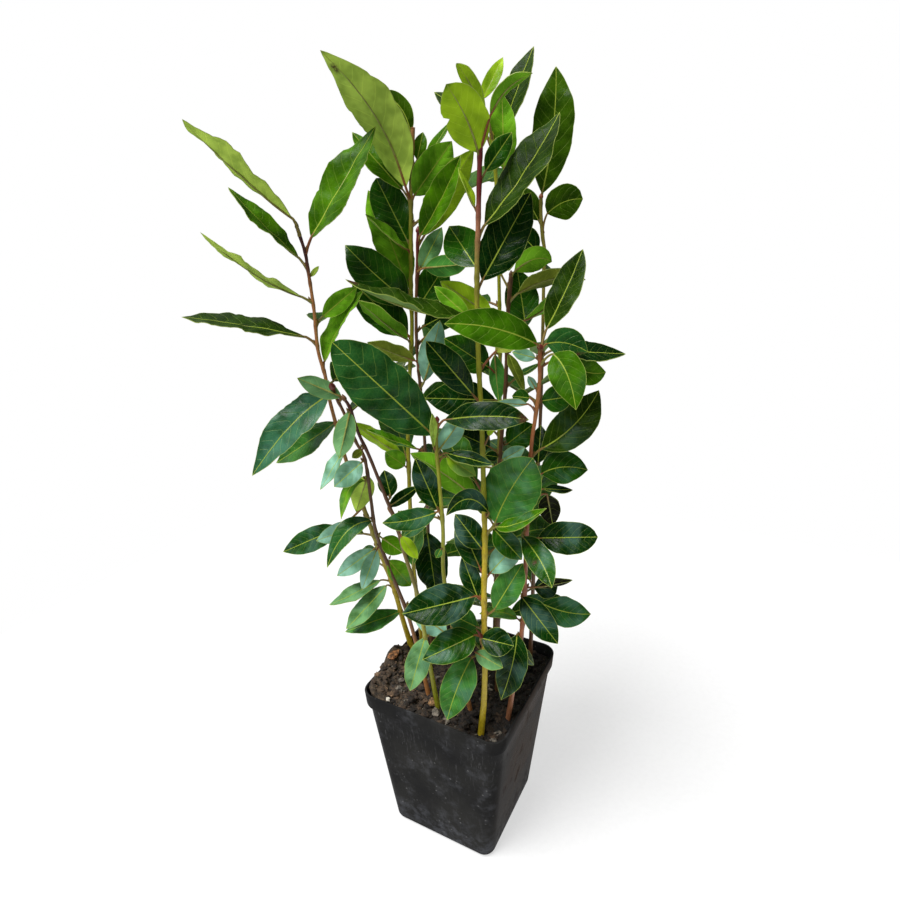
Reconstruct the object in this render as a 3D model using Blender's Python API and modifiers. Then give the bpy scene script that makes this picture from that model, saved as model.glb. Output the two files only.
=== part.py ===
"""A young bay laurel in a square nursery pot, in metres, with +Z up.

The origin is the centre of the underside of the pot.  Lengths in this file are millimetres until a
mesh is made.  Stems and leaves stand where they show in the reference picture, which is 900 by 900
pixels: a picture point and a depth give a place in space, through the camera described below.
A depth is measured level, away from that camera, from the pot's axis.
"""

import math
from collections import namedtuple

import bmesh
import bpy
from mathutils import Vector, noise
from mathutils.bvhtree import BVHTree

MM = 0.001

# Pot: half widths are from the axis to a flat side
POT_HEIGHT = 92.4
RIM_HALF = 40.0
BASE_HALF = 29.9
RIM_BAND = 8.9
RIM_STEP = 1.3
RIM_CORNER = 8.0
BASE_CORNER = 6.2
BASE_EDGE = 2.7
WALL = 1.1
CORNER_POINTS = 4
NOTCH_SIZE = (8.0, 3.6, 1.4)

# Soil
SOIL_GAP = 0.35
SOIL_LEVEL = 88.4
SOIL_SLOPE = 0.06
HEAP_PLACE = (-37.3, -11.5)
HEAP_HEIGHT = 8.5
HEAP_RADIUS = 9.0
SOIL_CRUMB = 1.0
SOIL_RINGS = 5
HOLE_DEPTH = 24.0
HOLE_GAP = 0.4
HOLE_SIDES = 8

# Stems
STEM_ROOT = 21.5
STEM_COLLAR = 8.0
STEM_SPACING = 25.0

# Leaves: lengths in millimetres, angles in degrees, the rest are shares of a leaf's own size
BLADE_THICKNESS = 0.65
PETIOLE_RADIUS = 0.68
LEAF_RATIO = 0.36
LEAF_ARCH = 0.07
LEAF_FOLD = 13.0
LEAF_WAVE = 0.045
LONG_LEAF, MEDIUM_LEAF = 45.0, 21.0
CLEAR_OF_OTHERS = 0.7

# Leaves on the far side
BACK_LOWEST = 114.0
BACK_BELOW_TOP = 21.0
BACK_STEP = 27.0
BACK_LENGTH = 52.0
BACK_STALK = 6.2
BACK_SPREAD = 80.0
BACK_TRIES = 9
BACK_MAY_SHOW = 1
GOLDEN_ANGLE = math.radians(137.5)

# The camera of the reference picture
VIEW_AZIMUTH, VIEW_ELEVATION, VIEW_ROLL = 28.6, 20.5, -1.4
VIEW_DISTANCE = 291.6
VIEW_TARGET = Vector((-4.7, 0.5, 218.0))
FOCAL_PIXELS = 615.0
PICTURE_MIDDLE = 450.0

TOP, UNDER = 1, -1

# How full a leaf's outline is: a smaller power gives a blunter leaf
POINTED, BLUNT = 0.68, 0.48

# line: where the stem shows, from its top down to the point where it enters the soil
# top_depth: the depth of its top; its foot stands on the soil, and the depth between changes evenly
Stem = namedtuple("Stem", "line top_depth foot_radius top_radius")
STEMS = {
    "a": Stem(((297, 228), (305, 252), (308, 270), (314, 310), (318, 350), (325, 375), (329, 397),
               (334, 417), (346, 460), (360, 498), (379, 549), (393, 585), (403, 620), (413, 652)),
              5, 1.7, 0.9),
    "m": Stem(((333, 388), (337, 399), (344, 413), (355, 440), (365, 460), (371, 500), (376, 532),
               (390, 570), (408, 615), (421, 662), (428, 692)), -20, 1.2, 0.9),
    "n": Stem(((345, 400), (350, 408), (358, 432), (370, 458), (386, 498), (396, 523), (404, 552),
               (417, 593), (430, 665), (438, 708)), -32, 1.3, 0.9),
    "b": Stem(((413, 128), (412, 160), (411, 190), (411, 250), (411, 290), (412, 330), (410, 370),
               (408, 430), (409, 475), (413, 560), (423, 648)), 20, 1.4, 1.2),
    "k": Stem(((418, 232), (417, 275), (416, 310), (417, 350), (420, 385), (424, 430), (426, 470),
               (428, 528), (429, 546), (432, 655)), 5, 1.2, 0.9),
    "l": Stem(((437, 421), (436, 440), (437, 455), (440, 490), (443, 530), (444, 577), (455, 640),
               (470, 709)), -33, 1.2, 1.0),
    "c": Stem(((480, 150), (479, 190), (478, 230), (477, 260), (477, 310), (478, 345), (479, 370),
               (482, 430), (484, 505), (485, 545), (484, 600), (485, 660), (484, 700), (481, 733)),
              -26, 1.6, 1.2),
    "j": Stem(((511, 276), (508, 312), (507, 350), (505, 395), (502, 433), (500, 460), (499, 560),
               (497, 690)), -12, 1.3, 1.1),
    "d": Stem(((541, 198), (541, 215), (543, 240), (545, 252), (544, 268), (541, 400), (535, 540),
               (530, 662)), 18, 1.3, 1.0),
    "r": Stem(((540, 348), (540, 365), (539, 390), (535, 420), (531, 450), (527, 520), (523, 620),
               (516, 670), (508, 719)), -34, 1.35, 1.0),
    "t": Stem(((492, 136), (496, 180), (499, 280), (500, 340), (500, 395), (498, 500), (496, 580),
               (494, 660)), 5, 1.3, 1.0),
}

# at: the picture height where the petiole leaves its stem
# base, tip, middle: picture points of the blade's midrib; middle may be left out
# wide: the blade's width as it shows, in pixels; side: the face that shows
# reach: how much deeper the tip lies than the stem
# fold: how far each half of the blade rises from the midrib, in degrees
Leaf = namedtuple("Leaf", "stem at base tip wide side reach middle fold outline",
                  defaults=(None, LEAF_FOLD, POINTED))
LEAVES = (
    Leaf("a", 236, (293, 219), (182, 119), 17, UNDER, -20, (230, 162)),
    Leaf("a", 270, (299, 258), (228, 187), 15, TOP, 11),
    Leaf("a", 303, (302, 297), (200, 232), 8, UNDER, -5, (250, 270), 4),
    Leaf("a", 346, (306, 337), (181, 317), 15, TOP, -9, (243, 324), 8),
    Leaf("a", 254, (311, 238), (376, 126), 31, TOP, 11, (338, 187)),
    Leaf("a", 283, (310, 277), (319, 266), 5, TOP, 2),
    Leaf("a", 326, (322, 317), (357, 287), 20, TOP, 7),
    Leaf("a", 370, (324, 362), (364, 290), 18, TOP, 2, (337, 326), 30),
    Leaf("a", 392, (328, 396), (252, 476), 34, TOP, -18, (291, 424)),
    Leaf("a", 425, (336, 422), (276, 463), 24, TOP, 5),
    Leaf("a", 506, (340, 527), (283, 552), 24, TOP, 2),
    Leaf("a", 515, (361, 524), (316, 541), 20, TOP, -7),
    Leaf("a", 545, (374, 549), (337, 576), 19, TOP, -4),
    Leaf("a", 582, (381, 580), (329, 605), 14, TOP, -5),
    Leaf("a", 592, (387, 585), (346, 629), 20, TOP, -11),
    Leaf("a", 612, (401, 611), (345, 632), 19, TOP, -7),
    Leaf("m", 402, (342, 397), (297, 378), 20, UNDER, -5),
    Leaf("m", 440, (345, 446), (320, 490), 12, TOP, -4),
    Leaf("m", 460, (362, 462), (334, 487), 24, TOP, -9),
    Leaf("m", 478, (365, 481), (341, 520), 11, TOP, -7, (350, 488)),
    Leaf("m", 472, (368, 475), (356, 512), 22, UNDER, 5),
    Leaf("m", 518, (372, 521), (327, 568), 20, TOP, -13, (346, 532)),
    Leaf("m", 545, (377, 549), (362, 590), 17, TOP, -7),
    Leaf("m", 534, (382, 538), (403, 553), 20, UNDER, -5),
    Leaf("m", 560, (388, 560), (411, 586), 22, TOP, 7),
    Leaf("n", 410, (350, 411), (339, 459), 22, UNDER, -11),
    Leaf("n", 446, (362, 450), (352, 458), 9, TOP, -4),
    Leaf("n", 500, (391, 497), (384, 470), 20, TOP, 7),
    Leaf("n", 530, (401, 536), (418, 559), 13, TOP, -5),
    Leaf("n", 514, (388, 507), (419, 486), 13, UNDER, 7),
    Leaf("n", 636, (425, 637), (410, 691), 25, TOP, -7),
    Leaf("b", 200, (406, 188), (320, 50), 43, UNDER, -20, (378, 117)),
    Leaf("b", 148, (411, 134), (379, 92), 20, TOP, 7, (400, 107)),
    Leaf("b", 168, (417, 160), (423, 132), 14, TOP, 5),
    Leaf("b", 178, (424, 160), (450, 122), 8, TOP, -3),
    Leaf("b", 204, (403, 190), (352, 132), 24, TOP, 16),
    Leaf("b", 247, (408, 242), (376, 178), 38, TOP, 9, None, LEAF_FOLD, BLUNT),
    Leaf("b", 256, (408, 250), (365, 214), 7, TOP, -7, None, 20),
    Leaf("b", 298, (408, 290), (368, 190), 36, TOP, 16, (390, 238)),
    Leaf("b", 206, (414, 196), (452, 141), 35, TOP, -7),
    Leaf("b", 308, (408, 301), (345, 245), 42, TOP, 5, (378, 277)),
    Leaf("b", 284, (406, 277), (372, 257), 22, TOP, 11),
    Leaf("b", 342, (408, 335), (352, 282), 38, TOP, -5),
    Leaf("b", 346, (408, 340), (358, 300), 16, UNDER, -14),
    Leaf("b", 470, (405, 466), (385, 452), 20, TOP, -5),
    Leaf("b", 464, (402, 455), (352, 422), 15, UNDER, -14),
    Leaf("k", 243, (420, 236), (461, 155), 28, TOP, -11, (440, 198), 25),
    Leaf("k", 246, (424, 236), (474, 149), 33, UNDER, 7, (448, 190)),
    Leaf("k", 280, (420, 270), (442, 227), 20, TOP, 2),
    Leaf("k", 272, (424, 268), (468, 264), 22, UNDER, -9),
    Leaf("k", 308, (421, 303), (446, 264), 34, TOP, 5),
    Leaf("k", 332, (424, 326), (462, 306), 28, TOP, 7),
    Leaf("k", 372, (416, 361), (367, 342), 17, UNDER, -14),
    Leaf("k", 388, (424, 382), (440, 320), 24, UNDER, -9),
    Leaf("k", 452, (418, 449), (365, 429), 8, TOP, -7),
    Leaf("k", 522, (427, 532), (436, 594), 34, TOP, -5),
    Leaf("k", 560, (430, 562), (428, 592), 8, UNDER, -7),
    Leaf("l", 442, (433, 435), (332, 342), 58, TOP, -7, (382, 388), 8, BLUNT),
    Leaf("l", 430, (444, 420), (529, 420), 31, TOP, -12, (488, 416)),
    Leaf("l", 456, (439, 450), (464, 416), 22, UNDER, -5),
    Leaf("l", 464, (446, 456), (476, 476), 18, TOP, -4),
    Leaf("l", 458, (446, 453), (494, 465), 14, TOP, -9),
    Leaf("l", 452, (434, 448), (432, 413), 7, TOP, -3),
    Leaf("l", 508, (437, 512), (382, 523), 23, TOP, -7, (410, 520)),
    Leaf("l", 520, (430, 517), (403, 537), 14, TOP, 7),
    Leaf("l", 516, (438, 510), (415, 458), 26, TOP, 12),
    Leaf("l", 552, (441, 549), (436, 558), 8, TOP, -4),
    Leaf("l", 640, (447, 634), (413, 610), 24, UNDER, 7),
    Leaf("c", 158, (478, 153), (446, 84), 44, UNDER, -9, (466, 118), 8, BLUNT),
    Leaf("c", 152, (490, 116), (533, 73), 13, UNDER, -7, (506, 88), 20),
    Leaf("c", 215, (475, 208), (458, 167), 6, TOP, 4),
    Leaf("c", 242, (484, 226), (560, 112), 33, TOP, 9, (524, 170)),
    Leaf("c", 186, (485, 172), (512, 132), 22, TOP, 7),
    Leaf("c", 292, (482, 281), (531, 192), 45, TOP, 11),
    Leaf("c", 277, (476, 267), (449, 226), 38, TOP, 7, None, LEAF_FOLD, BLUNT),
    Leaf("c", 330, (470, 318), (434, 286), 18, TOP, 5),
    Leaf("c", 324, (472, 317), (345, 279), 12, TOP, -4, (410, 304), 20),
    Leaf("c", 404, (474, 396), (426, 341), 31, TOP, -5, (448, 366)),
    Leaf("c", 372, (495, 352), (528, 325), 22, TOP, 12),
    Leaf("c", 448, (489, 436), (492, 424), 7, TOP, -3),
    Leaf("c", 506, (478, 499), (410, 453), 27, UNDER, 21, (446, 474)),
    Leaf("c", 518, (489, 513), (446, 516), 22, TOP, -11, (468, 499)),
    Leaf("c", 537, (493, 528), (522, 560), 24, TOP, -4),
    Leaf("c", 535, (495, 523), (533, 458), 58, TOP, -7, (510, 491), 8, BLUNT),
    Leaf("c", 538, (496, 527), (547, 508), 13, TOP, -3, (518, 523)),
    Leaf("c", 553, (482, 549), (455, 514), 26, TOP, 9),
    Leaf("c", 577, (480, 568), (458, 518), 28, TOP, 14),
    Leaf("c", 600, (478, 598), (462, 556), 20, TOP, 12),
    Leaf("c", 582, (490, 573), (522, 538), 26, TOP, 5),
    Leaf("c", 616, (494, 610), (523, 563), 29, TOP, 2),
    Leaf("c", 602, (476, 596), (402, 614), 41, TOP, -5, (440, 605)),
    Leaf("c", 640, (475, 635), (422, 660), 33, TOP, -9, (452, 646)),
    Leaf("c", 658, (472, 657), (447, 720), 34, TOP, -11, (458, 686)),
    Leaf("c", 649, (481, 638), (514, 646), 28, TOP, -6),
    Leaf("c", 658, (475, 652), (503, 668), 18, UNDER, -9),
    Leaf("c", 630, (477, 627), (448, 613), 26, TOP, 7),
    Leaf("j", 280, (514, 272), (552, 262), 25, UNDER, -4, (535, 259)),
    Leaf("j", 290, (500, 272), (485, 234), 27, TOP, 7),
    Leaf("j", 303, (517, 294), (586, 280), 16, UNDER, -5, (550, 278)),
    Leaf("j", 328, (524, 321), (580, 285), 13, UNDER, -3),
    Leaf("j", 340, (526, 328), (517, 268), 35, TOP, 9),
    Leaf("j", 352, (508, 353), (525, 392), 11, TOP, -5),
    Leaf("j", 389, (516, 378), (540, 363), 6, TOP, 4),
    Leaf("j", 445, (507, 444), (533, 424), 30, TOP, 7),
    Leaf("j", 456, (498, 457), (485, 455), 11, TOP, -5),
    Leaf("j", 464, (502, 460), (525, 447), 15, TOP, -5),
    Leaf("d", 204, (542, 194), (556, 66), 42, TOP, 2, (553, 130)),
    Leaf("d", 238, (547, 214), (583, 199), 34, TOP, -4, (564, 202), LEAF_FOLD, BLUNT),
    Leaf("d", 228, (539, 221), (520, 186), 20, TOP, 7),
    Leaf("d", 262, (538, 252), (515, 228), 26, TOP, 5),
    Leaf("r", 356, (538, 345), (444, 324), 37, TOP, -4, (494, 328), 8),
    Leaf("r", 354, (546, 344), (588, 352), 31, TOP, -5, (566, 343)),
    Leaf("r", 358, (556, 349), (626, 354), 18, TOP, 9),
    Leaf("r", 366, (553, 354), (576, 410), 37, TOP, -14, (567, 374)),
    Leaf("r", 368, (560, 360), (606, 372), 28, TOP, 4, (586, 372)),
    Leaf("r", 362, (536, 358), (512, 352), 13, TOP, 4),
    Leaf("r", 360, (546, 330), (583, 249), 30, TOP, 12, (566, 289)),
    Leaf("r", 413, (528, 404), (496, 402), 8, UNDER, -5),
    Leaf("r", 396, (536, 389), (528, 376), 8, UNDER, 3),
    Leaf("r", 408, (541, 401), (573, 396), 28, TOP, 5),
    Leaf("r", 408, (530, 398), (512, 396), 16, TOP, 9),
    Leaf("r", 458, (541, 449), (599, 390), 40, TOP, 12, (575, 424)),
    Leaf("r", 472, (538, 464), (541, 425), 20, TOP, 7),
    Leaf("r", 482, (541, 474), (588, 470), 34, TOP, 5, (563, 467)),
    Leaf("r", 492, (543, 489), (573, 490), 8, TOP, 4),
    Leaf("r", 500, (547, 494), (553, 526), 22, UNDER, 7),
    Leaf("r", 541, (538, 538), (598, 537), 34, TOP, -4, None, LEAF_FOLD, BLUNT),
    Leaf("r", 528, (522, 536), (552, 588), 27, TOP, -11, (540, 560)),
    Leaf("r", 596, (521, 596), (558, 644), 28, TOP, -11),
    Leaf("r", 602, (541, 603), (591, 614), 30, TOP, -2, (566, 612)),
    Leaf("r", 586, (536, 587), (573, 580), 8, UNDER, 5),
    Leaf("r", 592, (534, 588), (558, 585), 24, TOP, 9),
    Leaf("r", 624, (518, 619), (479, 614), 13, TOP, -2, (500, 612)),
    Leaf("r", 636, (517, 634), (501, 700), 31, TOP, -7, (512, 666)),
    Leaf("r", 648, (522, 650), (534, 665), 9, TOP, 5),
    Leaf("t", 142, (486, 112), (457, 63), 15, UNDER, -7, (468, 78)),
    Leaf("t", 150, (482, 100), (503, 57), 15, TOP, 5),
    Leaf("t", 190, (504, 170), (502, 93), 28, TOP, 2),
    Leaf("t", 168, (505, 130), (534, 46), 23, TOP, 11, (516, 90)),
    Leaf("t", 162, (478, 122), (434, 92), 18, TOP, 9),
    Leaf("t", 330, (494, 318), (440, 281), 26, UNDER, -7),
    Leaf("t", 378, (490, 368), (444, 338), 34, TOP, -4),
    Leaf("t", 354, (495, 354), (499, 402), 16, UNDER, -5),
    Leaf("t", 404, (496, 400), (425, 398), 36, TOP, -7),
    Leaf("t", 452, (490, 447), (452, 430), 34, TOP, -4),
)


def remove_default_objects():
    for item in list(bpy.data.objects):
        bpy.data.objects.remove(item, do_unlink=True)


def new_collection(name):
    collection = bpy.data.collections.new(name)
    bpy.context.scene.collection.children.link(collection)
    return collection


def new_material(name, colour, roughness):
    material = bpy.data.materials.new(name)
    material.use_nodes = True
    shader = material.node_tree.nodes["Principled BSDF"]
    shader.inputs["Base Color"].default_value = (*colour, 1.0)
    shader.inputs["Roughness"].default_value = roughness
    shader.inputs["Metallic"].default_value = 0.0
    return material


def new_object(name, points, faces, collection, material):
    """A mesh object from points in millimetres."""
    mesh = bpy.data.meshes.new(name)
    mesh.from_pydata([point * MM for point in points], [], faces)
    mesh.materials.append(material)
    item = bpy.data.objects.new(name, mesh)
    collection.objects.link(item)
    return item


def evaluated_mesh(item):
    return bpy.data.meshes.new_from_object(item.evaluated_get(bpy.context.evaluated_depsgraph_get()))


def apply_modifiers(item):
    shape = evaluated_mesh(item)
    item.modifiers.clear()
    item.data = shape


def camera_axes():
    """The camera's place, and its forward, right and up directions."""
    azimuth, elevation, roll = (math.radians(a) for a in (VIEW_AZIMUTH, VIEW_ELEVATION, VIEW_ROLL))
    back = Vector((math.sin(azimuth) * math.cos(elevation),
                   -math.cos(azimuth) * math.cos(elevation),
                   math.sin(elevation)))
    level_right = (-back).cross(Vector((0, 0, 1))).normalized()
    level_up = level_right.cross(-back)
    right = level_right * math.cos(roll) + level_up * math.sin(roll)
    up = level_up * math.cos(roll) - level_right * math.sin(roll)
    return VIEW_TARGET + back * VIEW_DISTANCE, -back, right, up


EYE, FORWARD, RIGHT, UP = camera_axes()
AWAY = Vector((FORWARD.x, FORWARD.y, 0.0)).normalized()


def sight_line(picture_point):
    across, down = picture_point
    return (FORWARD + RIGHT * ((across - PICTURE_MIDDLE) / FOCAL_PIXELS)
            + UP * ((PICTURE_MIDDLE - down) / FOCAL_PIXELS))


def seen(picture_point, depth):
    """The place at this depth that shows at this picture point."""
    sight = sight_line(picture_point)
    return EYE + sight * ((depth - EYE.dot(AWAY)) / sight.dot(AWAY))


def pixel_size(place):
    """How long a pixel is at this place."""
    return (place - EYE).dot(FORWARD) / FOCAL_PIXELS


def soil_height(x, y):
    """The soil's surface without its crumbs: higher on the left, with a heap at the left side."""
    from_heap = math.dist((x, y), HEAP_PLACE) / HEAP_RADIUS
    return SOIL_LEVEL - SOIL_SLOPE * x + HEAP_HEIGHT * math.exp(-from_heap ** 2)


def seen_on_soil(picture_point):
    """The place on the soil that shows at this picture point."""
    sight = sight_line(picture_point)
    place = EYE + sight * ((SOIL_LEVEL - EYE.z) / sight.z)
    for _ in range(4):
        place = EYE + sight * ((soil_height(place.x, place.y) - EYE.z) / sight.z)
    return place


def square_ring(half, corner, z, side_points=1):
    """Points round a square with rounded corners, counter-clockwise."""
    points = []
    for quarter in range(4):
        turn = math.radians(90 * quarter)
        centre = Vector((half - corner, half - corner))
        for i in range(CORNER_POINTS):
            angle = math.radians(90) * i / (CORNER_POINTS - 1)
            points.append(centre + corner * Vector((math.cos(angle), math.sin(angle))))
            if i == CORNER_POINTS - 1:
                next_start = Vector((corner - half, half))
                for j in range(side_points):
                    points.append(points[-1 - j].lerp(next_start, (j + 1) / (side_points + 1)))
        count = CORNER_POINTS + side_points
        for i in range(len(points) - count, len(points)):
            x, y = points[i]
            points[i] = Vector((x * math.cos(turn) - y * math.sin(turn),
                                x * math.sin(turn) + y * math.cos(turn)))
    return [Vector((x, y, z)) for x, y in points]


def loft(rings, close_start, close_end):
    """Points and faces of a skin through rings of equal length, going up counter-clockwise."""
    count = len(rings[0])
    points = [point for ring in rings for point in ring]
    faces = []
    for level in range(len(rings) - 1):
        for i in range(count):
            a, b = level * count + i, level * count + (i + 1) % count
            faces.append((a, b, b + count, a + count))
    if close_start:
        faces.append(tuple(reversed(range(count))))
    if close_end:
        faces.append(tuple(range(len(points) - count, len(points))))
    return points, faces


def wall_half(z):
    """Half the outer width of the wall below the rim band."""
    return BASE_HALF + (RIM_HALF - RIM_STEP - 0.5 - BASE_HALF) * z / (POT_HEIGHT - RIM_BAND)


def corner_radius(z):
    return BASE_CORNER + (RIM_CORNER - BASE_CORNER) * z / POT_HEIGHT


def make_pot(collection, material, cutters):
    band_foot = POT_HEIGHT - RIM_BAND
    profile = (
        (0.0, wall_half(0) - BASE_EDGE),
        (0.3 * BASE_EDGE, wall_half(0) - 0.3 * BASE_EDGE),
        (BASE_EDGE, wall_half(BASE_EDGE)),
        (band_foot, wall_half(band_foot)),
        (band_foot + 0.6, RIM_HALF - 0.5),
        (POT_HEIGHT, RIM_HALF),
    )
    rings = [square_ring(half, corner_radius(z) - (wall_half(z) - half if z < BASE_EDGE else 0), z)
             for z, half in profile]
    points, faces = loft(rings, True, False)
    pot = new_object("pot", points, faces, collection, material)
    skin = pot.modifiers.new("wall", "SOLIDIFY")
    skin.thickness = WALL * MM
    skin.offset = -1.0
    skin.use_even_offset = True
    apply_modifiers(pot)
    for side in range(4):
        cut_drain_notch(pot, side, cutters)
    apply_modifiers(pot)
    for cutter in list(cutters.objects):
        bpy.data.objects.remove(cutter, do_unlink=True)
    return pot


def cut_drain_notch(pot, side, cutters):
    """A low notch through the bottom edge of one side."""
    bpy.ops.mesh.primitive_cube_add(size=1.0)
    cutter = bpy.context.object
    cutter.name = f"notch_{side}"
    for owner in list(cutter.users_collection):
        owner.objects.unlink(cutter)
    cutters.objects.link(cutter)
    length, depth, height = NOTCH_SIZE
    turn = math.radians(90 * side)
    out, along = BASE_HALF, 0.2 * BASE_HALF
    cutter.scale = (length * MM, 2 * depth * MM, 2 * height * MM)
    cutter.rotation_euler = (0, 0, turn)
    cutter.location = (MM * (along * -math.cos(turn) + out * math.sin(turn)),
                       MM * (along * -math.sin(turn) - out * math.cos(turn)), 0)
    hide_cutter(cutter)
    add_cut(pot, cutter)


def hide_cutter(cutter):
    cutter.hide_render = True
    cutter.display_type = "WIRE"


def add_cut(item, cutter):
    cut = item.modifiers.new(cutter.name, "BOOLEAN")
    cut.operation = "DIFFERENCE"
    cut.solver = "EXACT"
    cut.object = cutter


def crumb(x, y):
    """Height of the soil's crumbs and bark chips at a place."""
    coarse = noise.noise(Vector((x, y, 3.0)) / 8.0)
    fine = noise.noise(Vector((x, y, 9.0)) / 3.6)
    return SOIL_CRUMB * (1.6 * coarse + fine)


def make_soil(collection, material, paths, cutters):
    inside = floor = WALL + SOIL_GAP
    ledge = POT_HEIGHT - RIM_BAND + 0.6 + WALL + SOIL_GAP
    profile = (
        (floor, wall_half(0) - BASE_EDGE - 0.4),
        (floor + BASE_EDGE, wall_half(floor + BASE_EDGE) - inside - 0.1),
        (ledge - 2.2, wall_half(ledge - 2.2) - inside - 0.1),
        (ledge, wall_half(ledge) - inside - 0.1),
    )
    rings = [square_ring(half, corner_radius(z) - inside, z, 2) for z, half in profile]
    edge_half = RIM_HALF - 0.5 - inside - 0.2
    for share in [1.0] + [1 - (i / SOIL_RINGS) ** 0.9 for i in range(1, SOIL_RINGS)]:
        ring = square_ring(edge_half * share, (RIM_CORNER - inside) * share, 0.0, 2)
        for point in ring:
            drop = 1.2 if share == 1.0 else 0.0
            point.z = soil_height(point.x, point.y) + crumb(point.x, point.y) - drop
            point.z = max(point.z, ledge + 0.4)
        rings.append(ring)
    points, faces = loft(rings, True, True)
    soil = new_object("soil", points, faces, collection, material)
    for name, path in paths.items():
        cut_stem_hole(soil, name, path, cutters)
    apply_modifiers(soil)
    for cutter in list(cutters.objects):
        bpy.data.objects.remove(cutter, do_unlink=True)
    return soil


def cut_stem_hole(soil, name, path, cutters):
    """A plain hole along the straight foot of one stem."""
    start, collar = path[0][0], path[1][0]
    direction = (collar - start).normalized()
    deep = start - direction * (HOLE_DEPTH - STEM_ROOT)
    radius = (path[0][1] + HOLE_GAP) / math.cos(math.pi / HOLE_SIDES)
    length = (collar - deep).length
    bpy.ops.mesh.primitive_cylinder_add(vertices=HOLE_SIDES, radius=radius * MM, depth=length * MM)
    cutter = bpy.context.object
    cutter.name = f"hole_{name}"
    for owner in list(cutter.users_collection):
        owner.objects.unlink(cutter)
    cutters.objects.link(cutter)
    cutter.location = (deep + collar) / 2 * MM
    cutter.rotation_mode = "QUATERNION"
    cutter.rotation_quaternion = Vector((0, 0, 1)).rotation_difference(direction)
    hide_cutter(cutter)
    add_cut(soil, cutter)


def through(points, spacing):
    """A smooth curve through the points, with a point about every `spacing`."""
    ends = [2 * points[0] - points[1], *points, 2 * points[-1] - points[-2]]
    curve = []
    for before, start, end, after in zip(ends, ends[1:], ends[2:], ends[3:]):
        steps = max(1, round((end - start).length / spacing))
        for i in range(steps):
            t = i / steps
            curve.append(0.5 * (2 * start + (end - before) * t
                                + (2 * before - 5 * start + 4 * end - after) * t * t
                                + (3 * start - before - 3 * end + after) * t ** 3))
    curve.append(points[-1])
    return curve


def stem_places(stem):
    """The stem's own points in space, from the soil up."""
    foot = seen_on_soil(stem.line[-1])
    foot_depth = foot.dot(AWAY)
    top_row, foot_row = stem.line[0][1], stem.line[-1][1]
    places = [foot]
    for picture_point in reversed(stem.line[:-1]):
        share = (foot_row - picture_point[1]) / (foot_row - top_row)
        places.append(seen(picture_point, foot_depth + share * (stem.top_depth - foot_depth)))
    return places


def stem_path(stem):
    """Points and radii from the buried end to the top; the foot is straight."""
    places = stem_places(stem)
    rise = (places[1] - places[0]).normalized()
    collar = places[0] + rise * STEM_COLLAR
    places = [place for place in places[1:] if place.z > collar.z + 0.6 * STEM_COLLAR]
    curve = [collar - rise * (STEM_COLLAR + STEM_ROOT), *through([collar, *places], STEM_SPACING)]
    length = sum((b - a).length for a, b in zip(curve, curve[1:]))
    path, gone = [], 0.0
    for i, place in enumerate(curve):
        gone += (place - curve[i - 1]).length if i else 0.0
        share = max(0.0, (gone - STEM_ROOT) / (length - STEM_ROOT))
        path.append((place, stem.foot_radius + share * (stem.top_radius - stem.foot_radius)))
    path[1] = (path[1][0], path[0][1])
    return path


def place_on_stem(stem, row):
    """Where a stem shows at a picture row."""
    places = stem_places(stem)
    rows = [point[1] for point in reversed(stem.line)]
    for i in range(len(rows) - 1):
        if rows[i] >= row >= rows[i + 1]:
            share = (rows[i] - row) / (rows[i] - rows[i + 1])
            return places[i].lerp(places[i + 1], share)
    return places[-1]


def half_width(t, outline):
    """The outline of a blade, as a share of its greatest half width."""
    skew = 1.08 - 0.16 * t if outline == POINTED else 1.0
    return (4 * t * (1 - t)) ** outline * skew


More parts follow.
